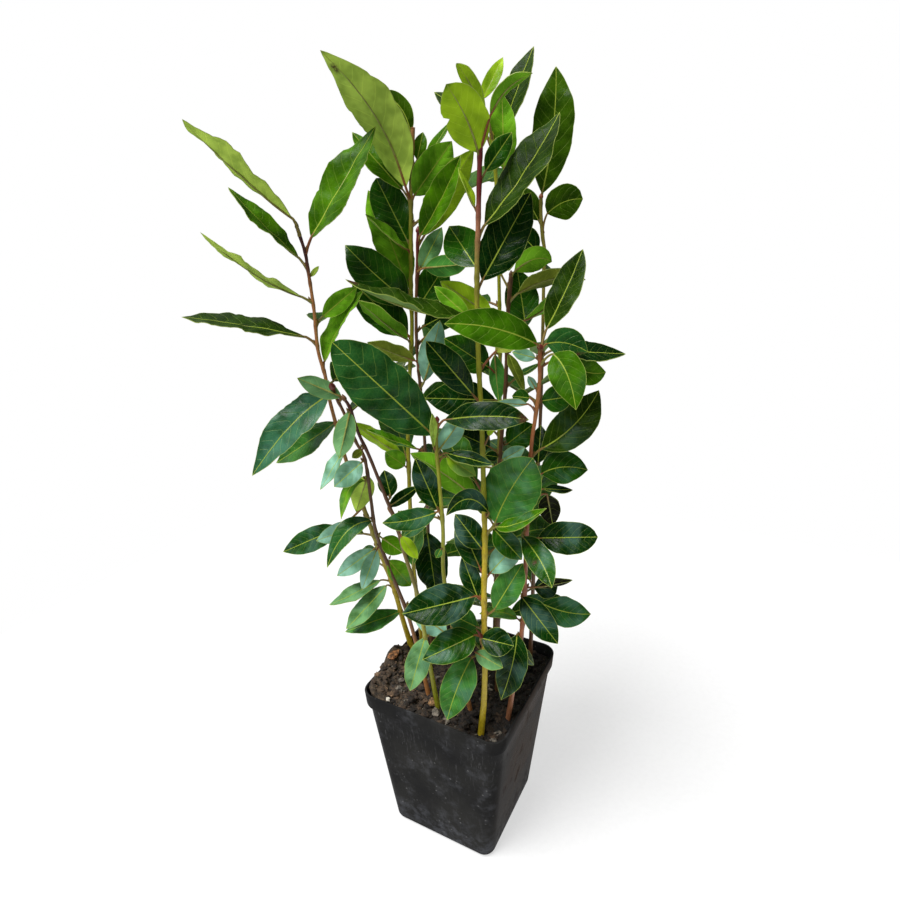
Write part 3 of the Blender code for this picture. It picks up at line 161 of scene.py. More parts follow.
# Leaves by stem.  tone: the colour of the face that shows.  at: the picture row where the leaf
# leaves its stem.  base, tip, middle: picture points.  wide: the width that shows, in pixels.
# reach: how far the tip lies behind the stem.  bulge: how far the middle is moved back.
Leaf = namedtuple("Leaf", "stem tone at base tip wide side reach middle fold outline bulge",
                  defaults=(None, LEAF_FOLD, POINTED, 0))
LEAF_ROWS = {
    "a": (
        ("olive", 236, (293, 219), (182, 119), 17, UNDER, -20, (230, 162)),
        ("green", 270, (299, 258), (228, 187), 15, TOP, 11),
        ("olive", 303, (302, 297), (200, 232), 8, UNDER, -5, (250, 270), 4),
        ("moss", 346, (306, 337), (181, 317), 15, TOP, -9, (243, 324), 8),
        ("green", 254, (311, 238), (376, 126), 31, TOP, 11, (338, 187)),
        ("olive", 283, (310, 277), (319, 266), 5, TOP, 2),
        ("bright", 326, (322, 317), (357, 287), 20, TOP, 7),
        ("bright", 370, (324, 362), (364, 290), 18, TOP, 6, (337, 326), 30),
        ("blue", 392, (328, 396), (252, 476), 34, TOP, -18, (291, 424)),
        ("mid", 425, (336, 422), (276, 463), 24, TOP, 5),
        ("teal", 506, (340, 527), (283, 552), 24, TOP, 2),
        ("silver", 515, (361, 524), (316, 541), 20, TOP, -7),
        ("silver", 545, (374, 549), (337, 576), 19, TOP, -4),
        ("pale", 582, (381, 580), (329, 605), 14, TOP, -5),
        ("pale", 592, (387, 585), (346, 629), 20, TOP, -11),
        ("mid", 612, (401, 611), (345, 632), 19, TOP, -7),
    ),
    "m": (
        ("pale", 402, (342, 397), (297, 378), 20, UNDER, -5),
        ("silver", 440, (345, 446), (320, 490), 12, TOP, -4),
        ("silver", 460, (362, 462), (334, 487), 24, TOP, -13),
        ("bright", 478, (365, 481), (341, 520), 11, TOP, -7, (350, 488)),
        ("olive", 472, (368, 475), (356, 512), 22, UNDER, 5),
        ("teal", 518, (372, 521), (327, 568), 20, TOP, -13, (346, 532)),
        ("silver", 545, (377, 549), (362, 590), 17, TOP, -7),
        ("green", 534, (382, 538), (403, 553), 20, UNDER, -5),
        ("bright", 560, (388, 560), (411, 586), 22, TOP, 7),
    ),
    "n": (
        ("pale", 410, (350, 411), (339, 459), 22, UNDER, -11),
        ("dull", 446, (362, 450), (352, 458), 9, TOP, -4),
        ("deep", 500, (391, 497), (384, 470), 20, TOP, 7),
        ("yellow", 530, (401, 536), (418, 559), 13, TOP, -5),
        ("deep", 514, (388, 507), (419, 486), 13, UNDER, 7),
        ("pale", 636, (425, 637), (410, 691), 25, TOP, -7),
    ),
    "b": (
        ("olive", 200, (406, 188), (320, 50), 43, UNDER, -20, (378, 117), LEAF_FOLD, POINTED, 5),
        ("drab", 148, (411, 134), (379, 92), 20, TOP, 7, (400, 107)),
        ("green", 168, (417, 160), (423, 132), 14, TOP, 5),
        ("green", 178, (424, 160), (450, 122), 8, TOP, -3),
        ("green", 204, (403, 190), (352, 132), 24, TOP, 16),
        ("dark", 247, (408, 242), (376, 178), 38, TOP, 9, None, LEAF_FOLD, BLUNT),
        ("bright", 256, (408, 250), (365, 214), 7, TOP, -11, None, 20),
        ("bright", 298, (408, 290), (368, 190), 36, TOP, 16, (390, 238)),
        ("bright", 206, (414, 196), (452, 141), 35, TOP, -7),
        ("dark", 308, (408, 301), (345, 245), 42, TOP, 1, (378, 277), LEAF_FOLD, POINTED, -5),
        ("dark", 284, (406, 277), (372, 257), 22, TOP, 19),
        ("dark", 342, (408, 335), (352, 282), 38, TOP, -1),
        ("bright", 346, (408, 340), (358, 300), 16, UNDER, -18, None, LEAF_FOLD, POINTED, -5),
        ("bright", 470, (405, 466), (385, 452), 20, TOP, -5),
        ("yellow", 464, (402, 455), (352, 422), 15, UNDER, -6),
    ),
    "k": (
        ("green", 243, (420, 236), (461, 155), 28, TOP, -11, (440, 198), 25),
        ("yellow", 246, (424, 236), (474, 149), 33, UNDER, 3, (448, 190)),
        ("pale", 280, (420, 270), (442, 227), 20, TOP, -2),
        ("mid", 272, (424, 268), (468, 264), 22, UNDER, -17),
        ("dark", 308, (421, 303), (446, 264), 34, TOP, 5),
        ("deep", 332, (424, 326), (462, 306), 28, TOP, 7),
        ("dull", 372, (416, 361), (367, 342), 17, UNDER, -14),
        ("silver", 388, (424, 382), (440, 320), 24, UNDER, -9),
        ("fresh", 452, (418, 449), (365, 429), 8, TOP, -7),
        ("deep", 522, (427, 532), (436, 594), 34, TOP, -5),
        ("dark", 560, (430, 562), (428, 592), 8, UNDER, -7),
    ),
    "l": (
        ("teal", 442, (433, 435), (332, 342), 58, TOP, -7, (382, 388), 8, BLUNT),
        ("deep", 430, (444, 420), (529, 420), 31, TOP, -12, (488, 416)),
        ("silver", 456, (439, 450), (464, 416), 22, UNDER, -5),
        ("yellow", 464, (446, 456), (476, 476), 18, TOP, -4),
        ("deep", 458, (446, 453), (494, 465), 14, TOP, -9),
        ("olive", 452, (434, 448), (432, 413), 7, TOP, -7),
        ("teal", 508, (437, 512), (382, 523), 23, TOP, -7, (410, 520)),
        ("mid", 520, (430, 517), (403, 537), 14, TOP, 7),
        ("deep", 516, (438, 510), (415, 458), 26, TOP, 12),
        ("mid", 552, (441, 549), (436, 558), 8, TOP, -4),
        ("silver", 640, (447, 634), (413, 610), 24, UNDER, 7),
    ),
    "c": (
        ("yellow", 158, (478, 153), (446, 84), 44, UNDER, -9, (466, 118), 8, BLUNT),
        ("bright", 152, (490, 116), (533, 73), 13, UNDER, -7, (506, 88), 20),
        ("yellow", 215, (475, 208), (458, 167), 6, TOP, 4),
        ("moss", 242, (484, 226), (560, 112), 33, TOP, 9, (524, 170)),
        ("dark", 186, (485, 172), (512, 132), 22, TOP, 7),
        ("deep", 292, (482, 281), (531, 192), 45, TOP, 11),
        ("dark", 277, (476, 267), (449, 226), 38, TOP, 7, None, LEAF_FOLD, BLUNT, 5),
        ("bright", 330, (470, 318), (434, 286), 18, TOP, 5),
        ("moss", 324, (472, 317), (345, 279), 12, TOP, -4, (410, 304), 20, POINTED, -5),
        ("deep", 404, (474, 396), (426, 341), 31, TOP, -5, (448, 366)),
        ("dull", 372, (495, 352), (528, 325), 22, TOP, 12),
        ("yellow", 448, (489, 436), (492, 424), 7, TOP, -3),
        ("bright", 506, (478, 499), (410, 453), 27, UNDER, 21, (446, 474)),
        ("deep", 518, (489, 513), (446, 516), 22, TOP, -11, (468, 499)),
        ("dark", 537, (493, 528), (522, 560), 24, TOP, -4),
        ("mid", 535, (495, 523), (533, 458), 58, TOP, -7, (510, 491), 8, BLUNT, 5),
        ("fresh", 538, (496, 527), (547, 508), 13, TOP, -11, (518, 523)),
        ("deep", 553, (482, 549), (455, 514), 26, TOP, 9),
        ("deep", 577, (480, 568), (458, 518), 28, TOP, 14),
        ("deep", 600, (478, 598), (462, 556), 20, TOP, 12),
        ("silver", 582, (490, 573), (522, 538), 26, TOP, 5),
        ("mid", 616, (494, 610), (523, 563), 29, TOP, 2),
        ("deep", 602, (476, 596), (402, 614), 41, TOP, -5, (440, 605)),
        ("dark", 640, (475, 635), (422, 660), 33, TOP, -9, (452, 646)),
        ("mid", 658, (472, 657), (447, 720), 34, TOP, -11, (458, 686)),
        ("deep", 649, (481, 638), (514, 646), 28, TOP, -6),
        ("pale", 658, (475, 652), (503, 668), 18, UNDER, -9),
        ("mid", 630, (477, 627), (448, 613), 26, TOP, 7),
    ),
    "j": (
        ("bright", 280, (514, 272), (552, 262), 25, UNDER, -4, (535, 259)),
        ("dull", 290, (500, 272), (485, 234), 27, TOP, 7),
        ("dull", 303, (517, 294), (586, 280), 16, UNDER, -5, (550, 278)),
        ("bright", 328, (524, 321), (580, 285), 13, UNDER, -3),
        ("dark", 340, (526, 328), (517, 268), 35, TOP, 9, None, LEAF_FOLD, POINTED, 5),
        ("dull", 352, (508, 353), (525, 392), 11, TOP, -5),
        ("mid", 389, (516, 378), (540, 363), 6, TOP, 4),
        ("dark", 445, (507, 444), (533, 424), 30, TOP, 7),
        ("deep", 456, (498, 457), (485, 455), 11, TOP, -5),
        ("silver", 464, (502, 460), (525, 447), 15, TOP, -5),
    ),
    "d": (
        ("drab", 204, (542, 194), (556, 66), 42, TOP, 2, (553, 130)),
        ("drab", 238, (547, 214), (583, 199), 34, TOP, -4, (564, 202), LEAF_FOLD, BLUNT),
        ("drab", 228, (539, 221), (520, 186), 20, TOP, 7),
        ("deep", 262, (538, 252), (515, 228), 26, TOP, 5),
    ),
    "r": (
        ("fresh", 356, (538, 345), (444, 324), 37, TOP, -12, (494, 328), 8),
        ("teal", 354, (546, 344), (588, 352), 31, TOP, -5, (566, 343)),
        ("deep", 358, (556, 349), (626, 354), 18, TOP, 9),
        ("fresh", 366, (553, 354), (576, 410), 37, TOP, -18, (567, 374)),
        ("green", 368, (560, 360), (606, 372), 28, TOP, 4, (586, 372)),
        ("silver", 362, (536, 358), (512, 352), 13, TOP, 4),
        ("moss", 360, (546, 330), (583, 249), 30, TOP, 12, (566, 289)),
        ("silver", 413, (528, 404), (496, 402), 8, UNDER, -5),
        ("silver", 396, (536, 389), (528, 376), 8, UNDER, 3),
        ("dark", 408, (541, 401), (573, 396), 28, TOP, 5),
        ("dark", 408, (530, 398), (512, 396), 16, TOP, 9),
        ("moss", 458, (541, 449), (599, 390), 40, TOP, 12, (575, 424)),
        ("deep", 472, (538, 464), (541, 425), 20, TOP, 11),
        ("dark", 482, (541, 474), (588, 470), 34, TOP, 5, (563, 467)),
        ("deep", 492, (543, 489), (573, 490), 8, TOP, 4),
        ("withered", 500, (547, 494), (553, 526), 22, UNDER, 7),
        ("deep", 541, (538, 538), (598, 537), 34, TOP, -4, None, LEAF_FOLD, BLUNT),
        ("dark", 528, (522, 536), (552, 588), 27, TOP, -27, (540, 560)),
        ("deep", 596, (521, 596), (558, 644), 28, TOP, -11),
        ("teal", 602, (541, 603), (591, 614), 30, TOP, -2, (566, 612)),
        ("withered", 586, (536, 587), (573, 580), 8, UNDER, 5),
        ("deep", 592, (534, 588), (558, 585), 24, TOP, 13),
        ("bright", 624, (518, 619), (479, 614), 13, TOP, 2, (500, 612)),
        ("deep", 636, (517, 634), (501, 700), 31, TOP, -7, (512, 666)),
        ("moss", 648, (522, 650), (534, 665), 9, TOP, 5),
    ),
    "t": (
        ("yellow", 142, (486, 112), (457, 63), 15, UNDER, -7, (468, 78)),
        ("yellow", 150, (482, 100), (503, 57), 15, TOP, 5),
        ("bright", 190, (504, 170), (502, 93), 28, TOP, 2),
        ("moss", 168, (505, 130), (534, 46), 23, TOP, 11, (516, 90)),
        ("moss", 162, (478, 122), (434, 92), 18, TOP, 9),
        ("yellow", 330, (494, 318), (440, 281), 26, UNDER, -7),
        ("dark", 378, (490, 368), (444, 338), 34, TOP, -8),
        ("mid", 354, (495, 354), (499, 402), 16, UNDER, -5),
        ("deep", 404, (496, 400), (425, 398), 36, TOP, -7),
        ("deep", 452, (490, 447), (452, 430), 34, TOP, -4),
    ),
}
LEAVES = [Leaf(stem, *row) for stem, rows in LEAF_ROWS.items() for row in rows]

# The nodes of each stem from the bottom up: which of its ways the far leaf points, or - for no leaf
FAR_LEAVES = {
    "a": "-80-064", "m": "-0---", "n": "--5--", "b": "30011000", "k": "-612-0-", "l": "5---",
    "c": "1-07---", "j": "5-822-", "d": "4032020", "r": "-211", "t": "0112-51",
}

# The colours of leaves' faces in linear light, for the face that shows.  They hold painted light
# and shade besides the leaves' own colours: deep holds painted shade of leaves inside the plant; silver,
# pale and blue hold a painted gloss sheen; yellow holds painted light shining through the blade; and a
# leaf that lies in shade was given a brighter tone to make up for it.
TONES = {
    "olive": (0.4853, 0.6946, 0.1088),
    "green": (0.0611, 0.1805, 0.0020),
    "bright": (0.1554, 0.3978, 0.0154),
    "fresh": (0.0467, 0.1526, 0.0020),
    "yellow": (0.3616, 0.5930, 0.0196),
    "mid": (0.0529, 0.2077, 0.0331),
    "blue": (0.0355, 0.1452, 0.0731),
    "teal": (0.0187, 0.0985, 0.0185),
    "dark": (0.0146, 0.0843, 0.0020),
    "deep": (0.0023, 0.0311, 0.0020),
    "pale": (0.1582, 0.3549, 0.1507),
    "silver": (0.2775, 0.5558, 0.4451),
    "drab": (0.0380, 0.1000, 0.0020),
    "moss": (0.0195, 0.0539, 0.0020),
    "dull": (0.2216, 0.2807, 0.0318),
    "withered": (0.0062, 0.0080, 0.0020),
    "back": (0.034, 0.120, 0.010),
}
UPPER_BEHIND = Vector((0.036, 0.125, 0.010))
UNDER_BEHIND = Vector((0.190, 0.330, 0.090))
PALE_RIB = Vector((0.36, 0.42, 0.10))

# Petiole colours by tone
RED_STALK, GREEN_STALK = Vector((0.30, 0.085, 0.035)), Vector((0.26, 0.27, 0.055))
BUD_RED = Vector((0.20, 0.030, 0.022))

# Bark colours from the top down, as (picture row, colour)
PURPLE, BROWN, RED, RUST, PINK, TAN, OLIVE, LIME, GOLD = map(Vector, (
    (0.10, 0.036, 0.030), (0.17, 0.082, 0.034), (0.20, 0.022, 0.025),
    (0.46, 0.15, 0.055), (0.46, 0.21, 0.11), (0.56, 0.25, 0.085),
    (0.32, 0.30, 0.050), (0.42, 0.46, 0.025), (0.66, 0.52, 0.020)))
BARK = {
    "a": ((228, PURPLE), (262, PURPLE), (290, TAN), (420, TAN), (520, OLIVE), (600, GOLD), (652, GOLD)),
    "m": ((388, BROWN), (600, BROWN), (660, TAN), (692, TAN)),
    "n": ((400, PURPLE), (520, BROWN), (600, OLIVE), (650, LIME), (708, LIME)),
    "b": ((128, TAN), (180, OLIVE), (260, LIME), (400, LIME), (641, GOLD)),
    "k": ((232, RED), (300, BROWN), (655, BROWN)),
    "l": ((421, OLIVE), (450, LIME), (577, LIME), (640, BROWN), (709, TAN)),
    "c": ((150, RED), (195, RED), (230, PINK), (265, OLIVE), (330, LIME), (480, LIME), (560, GOLD),
          (733, GOLD)),
    "j": ((276, BROWN), (690, BROWN)),
    "d": ((198, OLIVE), (268, OLIVE), (400, BROWN), (662, BROWN)),
    "r": ((348, RUST), (400, TAN), (450, RUST), (620, RUST), (719, PINK)),
    "t": ((136, LIME), (340, LIME), (500, OLIVE), (660, BROWN)),
}

# Buds: stem, picture row where it stands, picture point of the bud's tip, reach, radius, colour
BUDS = (
    ("m", 388, (330, 383), -3, 1.5, BUD_RED),
    ("n", 400, (342, 394), 0, 1.0, BROWN),
    ("l", 421, (437, 416), -1, 1.1, BUD_RED),
    ("r", 348, (540, 344), -1, 1.3, BUD_RED),
    ("k", 232, (418, 226), 0, 1.1, RED),
    ("b", 128, (413, 127), 0, 1.1, TAN),
    ("a", 228, (296, 221), 0, 0.9, PURPLE),
    ("j", 276, (511, 270), 0, 1.0, BROWN),
    ("d", 198, (541, 193), 0, 1.1, RUST),
    ("c", 150, (480, 145), 0, 1.2, RED),
    ("c", 640, (476, 629), -5, 1.05, BUD_RED),
    ("t", 136, (492, 131), 0, 1.0, LIME),
)

# Bites out of a margin: leaf number, hand, where along, depth and length as shares
Bite = namedtuple("Bite", "leaf hand at depth length")
BITES = (Bite(68, 1, 0.62, 0.30, 0.04),)

# Brown marks: leaf number, where along, where across, radius in millimetres
Mark = namedtuple("Mark", "leaf at across radius")
MARKS = (
    Mark(31, 0.88, 0.3, 2.2),
    Mark(58, 0.97, 0.0, 5.0),
    Mark(76, 0.98, 0.0, 4.5),
    Mark(57, 0.42, -0.1, 1.2),
    Mark(111, 0.85, 0.9, 1.6),
    Mark(127, 0.5, 0.4, 1.5),
)


def camera_axes():
    """The camera's place, and its forward, right and up directions."""
    level = math.cos(VIEW_ELEVATION)
    back = Vector((math.sin(VIEW_AZIMUTH) * level, -math.cos(VIEW_AZIMUTH) * level,
                   math.sin(VIEW_ELEVATION)))
    level_right = (-back).cross(Z_UP).normalized()
    level_up = level_right.cross(-back)
    right = level_right * math.cos(VIEW_ROLL) + level_up * math.sin(VIEW_ROLL)
    up = level_up * math.cos(VIEW_ROLL) - level_right * math.sin(VIEW_ROLL)
    return VIEW_TARGET + back * VIEW_DISTANCE, -back, right, up


EYE, FORWARD, RIGHT, UP = camera_axes()
AWAY = Vector((FORWARD.x, FORWARD.y, 0.0)).normalized()
LEVEL_RIGHT = AWAY.cross(Z_UP)


def sight_line(picture_point):
    across, down = picture_point
    return (FORWARD + RIGHT * ((across - PICTURE_MIDDLE) / FOCAL_PIXELS)
            + UP * ((PICTURE_MIDDLE - down) / FOCAL_PIXELS))


def seen(picture_point, depth):
    """The place at this depth that shows at this picture point."""
    sight = sight_line(picture_point)
    return EYE + sight * ((depth - EYE.dot(AWAY)) / sight.dot(AWAY))


def seen_on_soil(picture_point):
    """The place on the soil that shows at this picture point."""
    sight = sight_line(picture_point)
    place = EYE + sight * ((SOIL_LEVEL - EYE.z) / sight.z)
    for _ in range(4):
        place = EYE + sight * ((soil_height(place.x, place.y) - EYE.z) / sight.z)
    return place


def turned(x, y, angle, z=0.0):
    """A point turned round the upright axis."""
    cosine, sine = math.cos(angle), math.sin(angle)
    return Vector((x * cosine - y * sine, x * sine + y * cosine, z))


def smooth_step(low, high, value):
    share = min(1.0, max(0.0, (value - low) / (high - low)))
    return share * share * (3 - 2 * share)


def between(keys, values, key):
    """The value at a key: straight between the listed ones, and the nearest one past the ends."""
    pairs = list(zip(keys, values))
    for (near, value), (far, next_value) in zip(pairs, pairs[1:]):
        if min(near, far) <= key <= max(near, far):
            share = (key - near) / (far - near)
            if isinstance(value, Vector):
                return value.lerp(next_value, share)
            return value + share * (next_value - value)
    return min(pairs, key=lambda pair: abs(pair[0] - key))[1]


# Shapes


def square_ring(half, corner, z, side_points):
    """Points round a square with rounded corners, counter-clockwise."""
    quarter = []
    centre = Vector((half - corner, half - corner))
    for i in range(CORNER_POINTS):
        angle = math.radians(90) * i / (CORNER_POINTS - 1)
        quarter.append(centre + corner * Vector((math.cos(angle), math.sin(angle))))
    corner_end, next_start = quarter[-1], Vector((corner - half, half))
    quarter += [corner_end.lerp(next_start, (j + 1) / (side_points + 1)) for j in range(side_points)]
    return [turned(x, y, math.radians(90 * turn), z) for turn in range(4) for x, y in quarter]


def loft(rings):
    """Points and faces of a closed skin through rings of equal length, going up counter-clockwise."""
    count = len(rings[0])
    points = [point for ring in rings for point in ring]
    faces = []
    for first in range(0, len(points) - count, count):
        for i in range(count):
            a, b = first + i, first + (i + 1) % count
            faces.append((a, b, b + count, a + count))
    faces.append(tuple(reversed(range(count))))
    faces.append(tuple(range(len(points) - count, len(points))))
    return points, faces


def tube(curve, radii, sides, guide=Vector((0, 1, 0))):
    """Points and faces of a closed tube along a curve."""
    rings = []
    turns = [math.tau * k / sides for k in range(sides)]
    for i, (place, radius) in enumerate(zip(curve, radii)):
        along = (curve[min(i + 1, len(curve) - 1)] - curve[max(i - 1, 0)]).normalized()
        side = along.cross(guide).normalized()
        front = along.cross(side)
        rings.append([place + radius * (side * math.cos(a) + front * math.sin(a)) for a in turns])
    return loft(rings)


def through(points, spacing):
    """A smooth curve through the points, with a point about every `spacing`."""
    ends = [2 * points[0] - points[1], *points, 2 * points[-1] - points[-2]]
    curve = []
    for before, start, end, after in zip(ends, ends[1:], ends[2:], ends[3:]):
        steps = max(1, round((end - start).length / spacing))
        for i in range(steps):
            t = i / steps
            curve.append(0.5 * (2 * start + (end - before) * t
                                + (2 * before - 5 * start + 4 * end - after) * t * t
                                + (3 * start - before - 3 * end + after) * t ** 3))
    curve.append(points[-1])
    return curve


def add_object(name, data):
    item = bpy.data.objects.new(name, data)
    bpy.context.scene.collection.objects.link(item)
    return item


def add_mesh(name, points, faces, materials=()):
    mesh = bpy.data.meshes.new(name)
    mesh.from_pydata([point * MM for point in points], [], faces)
    for material in materials:
        mesh.materials.append(material)
    return add_object(name, mesh)


def smooth(mesh, sharp):
    """Smooth faces with sharp edges above an angle in degrees."""
    mesh.polygons.foreach_set("use_smooth", [True] * len(mesh.polygons))
    mesh.set_sharp_from_angle(angle=math.radians(sharp))


class Builder:
    """Collects the points, faces and surface values of one piece.

    tone: the colour of a point.  place: across, along and from the margin, in millimetres.
    nature: a number of the leaf's own, the count of side veins up to here, and how brown it is.
    """

    def __init__(self):
        self.points, self.faces, self.slots = [], [], []
        self.tones, self.places, self.natures = [], [], []

    def add(self, points, faces, slot, tones, places=None, natures=None):
        """One value for all points or faces, or a list of them."""
        first = len(self.points)
        self.points += points
        self.faces += [tuple(i + first for i in face) for face in faces]
        self.slots += slot if isinstance(slot, list) else [slot] * len(faces)
        for kept, values in ((self.tones, tones), (self.places, places or (0.0, 0.0, 5.0)),
                             (self.natures, natures or (0.0, 0.5, 0.0))):
            kept += values if isinstance(values, list) else [values] * len(points)

    def add_tube(self, curve, radii, sides, slot, tones, mark, own=0.0, guide=Vector((0, 1, 0))):
        """A tube with a tone for each ring; mark gives the place of a point by its side and ring."""
        points, faces = tube(curve, radii, sides, guide)
        places = [mark(i % sides, i // sides) for i in range(len(points))]
        self.add(points, faces, slot, [tone for tone in tones for _ in range(sides)], places,
                 (own, 0.5, 0.0))

    def make(self, name, materials, sharp=50.0):
        item = add_mesh(name, self.points, self.faces, materials)
        mesh = item.data
        mesh.polygons.foreach_set("material_index", self.slots)
        tone = mesh.attributes.new("tone", "FLOAT_COLOR", "POINT")
        tone.data.foreach_set("color", [v for t in self.tones for v in (*t, 1.0)[:4]])
        for key, values in (("place", self.places), ("nature", self.natures)):
            layer = mesh.attributes.new(key, "FLOAT_VECTOR", "POINT")
            layer.data.foreach_set("vector", [v for value in values for v in value])
        smooth(mesh, sharp)
        mesh.update()
        return item


# Stems and the places of leaves


def stem_places(stem):
    """The stem's own points in space, from the soil up."""
    foot = seen_on_soil(stem.line[-1])
    foot_depth = foot.dot(AWAY)
    top_row, foot_row = stem.line[0][1], stem.line[-1][1]
    places = [foot]
    for picture_point in reversed(stem.line[:-1]):
        share = (foot_row - picture_point[1]) / (foot_row - top_row)
        places.append(seen(picture_point, foot_depth + share * (stem.top_depth - foot_depth)))
    return places


def stem_rows(stem):
    """The picture rows of the stem's points, from the soil up."""
    return [point[1] for point in reversed(stem.line)]


def place_on_stem(stem, row):
    """Where a stem shows at a picture row."""
    return between(stem_rows(stem), stem_places(stem), row)


def stem_path(stem):
    """Points and radii from the buried end to the top; the foot is straight."""
    places = stem_places(stem)
    rise = (places[1] - places[0]).normalized()
    collar = places[0] + rise * STEM_COLLAR
    places = [place for place in places[1:] if place.z > collar.z + 0.6 * STEM_COLLAR]
    curve = [collar - rise * (STEM_COLLAR + STEM_ROOT), *through([collar, *places], STEM_SPACING)]
    length = sum((b - a).length for a, b in zip(curve, curve[1:]))
    path, gone = [], 0.0
    for i, place in enumerate(curve):
        gone += (place - curve[i - 1]).length if i else 0.0
        share = max(0.0, (gone - STEM_ROOT) / (length - STEM_ROOT))
        path.append((place, stem.foot_radius + share * (stem.top_radius - stem.foot_radius)))
    path[1] = (path[1][0], path[0][1])
    return path


def half_width(t, outline):
    """The outline of a blade, as a share of its greatest half width."""
    skew = 1.08 - 0.16 * t if outline == POINTED else 1.0
    return (4 * t * (1 - t)) ** outline * skew


class Blade:
    """One leaf in space: its petiole, its midrib and the frame of its blade."""

    def __init__(self, stem, tone, root, base, middle, tip):
        self.stem, self.tone = stem, tone
        self.root, self.base, self.middle, self.tip = root, base, middle, tip
        self.bend = 2 * middle - (base + tip) / 2
        self.span = (tip - base).length
        self.rows = 4 if self.span > LONG_LEAF else 3 if self.span > MEDIUM_LEAF else 2

    def finish(self, width, normal, number, fold=LEAF_FOLD, outline=POINTED, side=TOP):
        """The blade's own form, once it has its place."""
        self.width, self.normal, self.outline, self.side = width, normal, outline, side
        self.fold = math.radians(fold)
        self.wave = LEAF_WAVE * width
        self.phase = math.pi * (number % 2)
        return self

    def midrib(self, t):
        """The midrib lies below the line through the picture points by half the fold's height."""
        line = (1 - t) ** 2 * self.base + 2 * t * (1 - t) * self.bend + t * t * self.tip
        rise = 0.25 * self.width * half_width(t, self.outline) * math.sin(self.fold)
        return line - self.normal * rise

    def frame(self, t):
        """The side and up directions of the blade at t along its midrib."""
        along = (2 * (1 - t) * (self.bend - self.base) + 2 * t * (self.tip - self.bend)).normalized()
        up = (self.normal - along * along.dot(self.normal)).normalized()
        return along.cross(up), up


def seen_leaf(leaf, number):
    """A leaf where the picture shows it."""
    root = place_on_stem(STEMS[leaf.stem], leaf.at)
    depth = root.dot(AWAY)
    middle_point = leaf.middle or (Vector(leaf.base) + Vector(leaf.tip)) / 2
    stalk = (seen(leaf.base, depth) - root).length
    blade_length = (seen(leaf.tip, depth) - root).length
    base_depth = depth + leaf.reach * min(0.35, stalk / blade_length)
    base, tip = seen(leaf.base, base_depth), seen(leaf.tip, depth + leaf.reach)
    arch = leaf.bulge - leaf.side * LEAF_ARCH * (tip - base).length
    middle = seen(middle_point, (base_depth + depth + leaf.reach) / 2 + arch)
    blade = Blade(leaf.stem, leaf.tone, root, base, middle, tip)
    shown = leaf.wide * (middle - EYE).dot(FORWARD) / FOCAL_PIXELS
    width = max(shown, LEAF_RATIO * blade.span)
    normal = normal_seen(blade, shown / width, leaf.side)
    return blade.finish(width, normal, number, leaf.fold, leaf.outline, leaf.side)


def normal_seen(blade, cosine, side):
    """The normal that shows this share of a blade's width, with its upper face as high as can be."""
    axis = (blade.tip - blade.base).normalized()
    toward = EYE - blade.middle
    full = (toward - axis * axis.dot(toward)).normalized()
    edge = axis.cross(full)
    sine = math.sqrt(1 - cosine * cosine)
    return max((full * cosine * side + edge * sine * sign for sign in (1, -1)), key=lambda n: n.z)


def far_leaves(number):
    """Leaves on the far side, which the rest of the plant hides from the camera."""
    blades = []
    for order, (name, choices) in enumerate(FAR_LEAVES.items()):
        places = stem_places(STEMS[name])
        height = FAR_LOWEST + 2.7 * order
        for turn, choice in enumerate(choices, 5 * order + 1):
            if choice != "-":
                root = between([place.z for place in places], places, height)
                blades.append(far_leaf(name, root, turn, int(choice), number + len(blades)))
            height += FAR_STEP * (1.0 + 0.3 * math.sin(2.1 * turn))
    return blades


def far_leaf(name, root, turn, choice, number):
    """A leaf that points away from the camera, by its turn round the stem and its choice of ways."""
    heading = math.atan2(AWAY.y, AWAY.x) + FAR_SPREAD * math.sin(turn * GOLDEN_ANGLE + choice * 1.3)
    length = FAR_LENGTH * (1.0 - 0.16 * (choice % 3))
    level = Vector((math.cos(heading), math.sin(heading), 0.0))
    rise = 0.3 + 0.4 * math.sin(turn * 1.7 + choice)
    base = root + (level + Z_UP * rise).normalized() * FAR_STALK
    tip = base + (level + Z_UP * (rise - 0.3)).normalized() * length
    blade = Blade(name, "back", root, base, (base + tip) / 2 + Z_UP * (0.09 * length), tip)
    axis = (tip - base).normalized()
    upright = (Z_UP - axis * axis.z).normalized()
    tilt = axis.cross(upright) * 0.6 * math.sin(turn * 2.3)
    return blade.finish(0.4 * length, (upright + tilt).normalized(), number)


# Fine leaves and stems


def fine_half(t, outline):
    """The model's outline with a straighter taper into the petiole and the tip."""
    t = min(max(t, 1e-4), 1 - 1e-4)
    tip, foot = (0.98, 0.92) if outline == POINTED else (0.72, 0.8)
    power = (tip - outline) * smooth_step(0.55, 1.0, t) + (foot - outline) * smooth_step(0.4, 0.0, t)
    return half_width(t, outline) * (4 * t * (1 - t)) ** power


def ripple(number, hand, t):
    """Small waves of a margin, as a share from -1 to 1."""
    place = Vector((7.3 * number + 3.1 * hand, t, 0.5))
    return noise.noise(place) + 0.45 * noise.noise(place * 2.3)


def puckers(number, along, across, spacing):
    """The blade's own relief: it bulges between its side veins and has broad, shallow dents."""
    vein = (along - 0.7 * abs(across)) / spacing + (0.5 if across > 0 else 0.0)
    bulge = 0.5 - 0.5 * math.cos(math.tau * vein)
    dent = noise.noise(Vector((along / 7.0, across / 4.5, 9.1 * number)))
    return 0.16 * bulge * min(1.0, abs(across) / 1.5) + 0.55 * dent


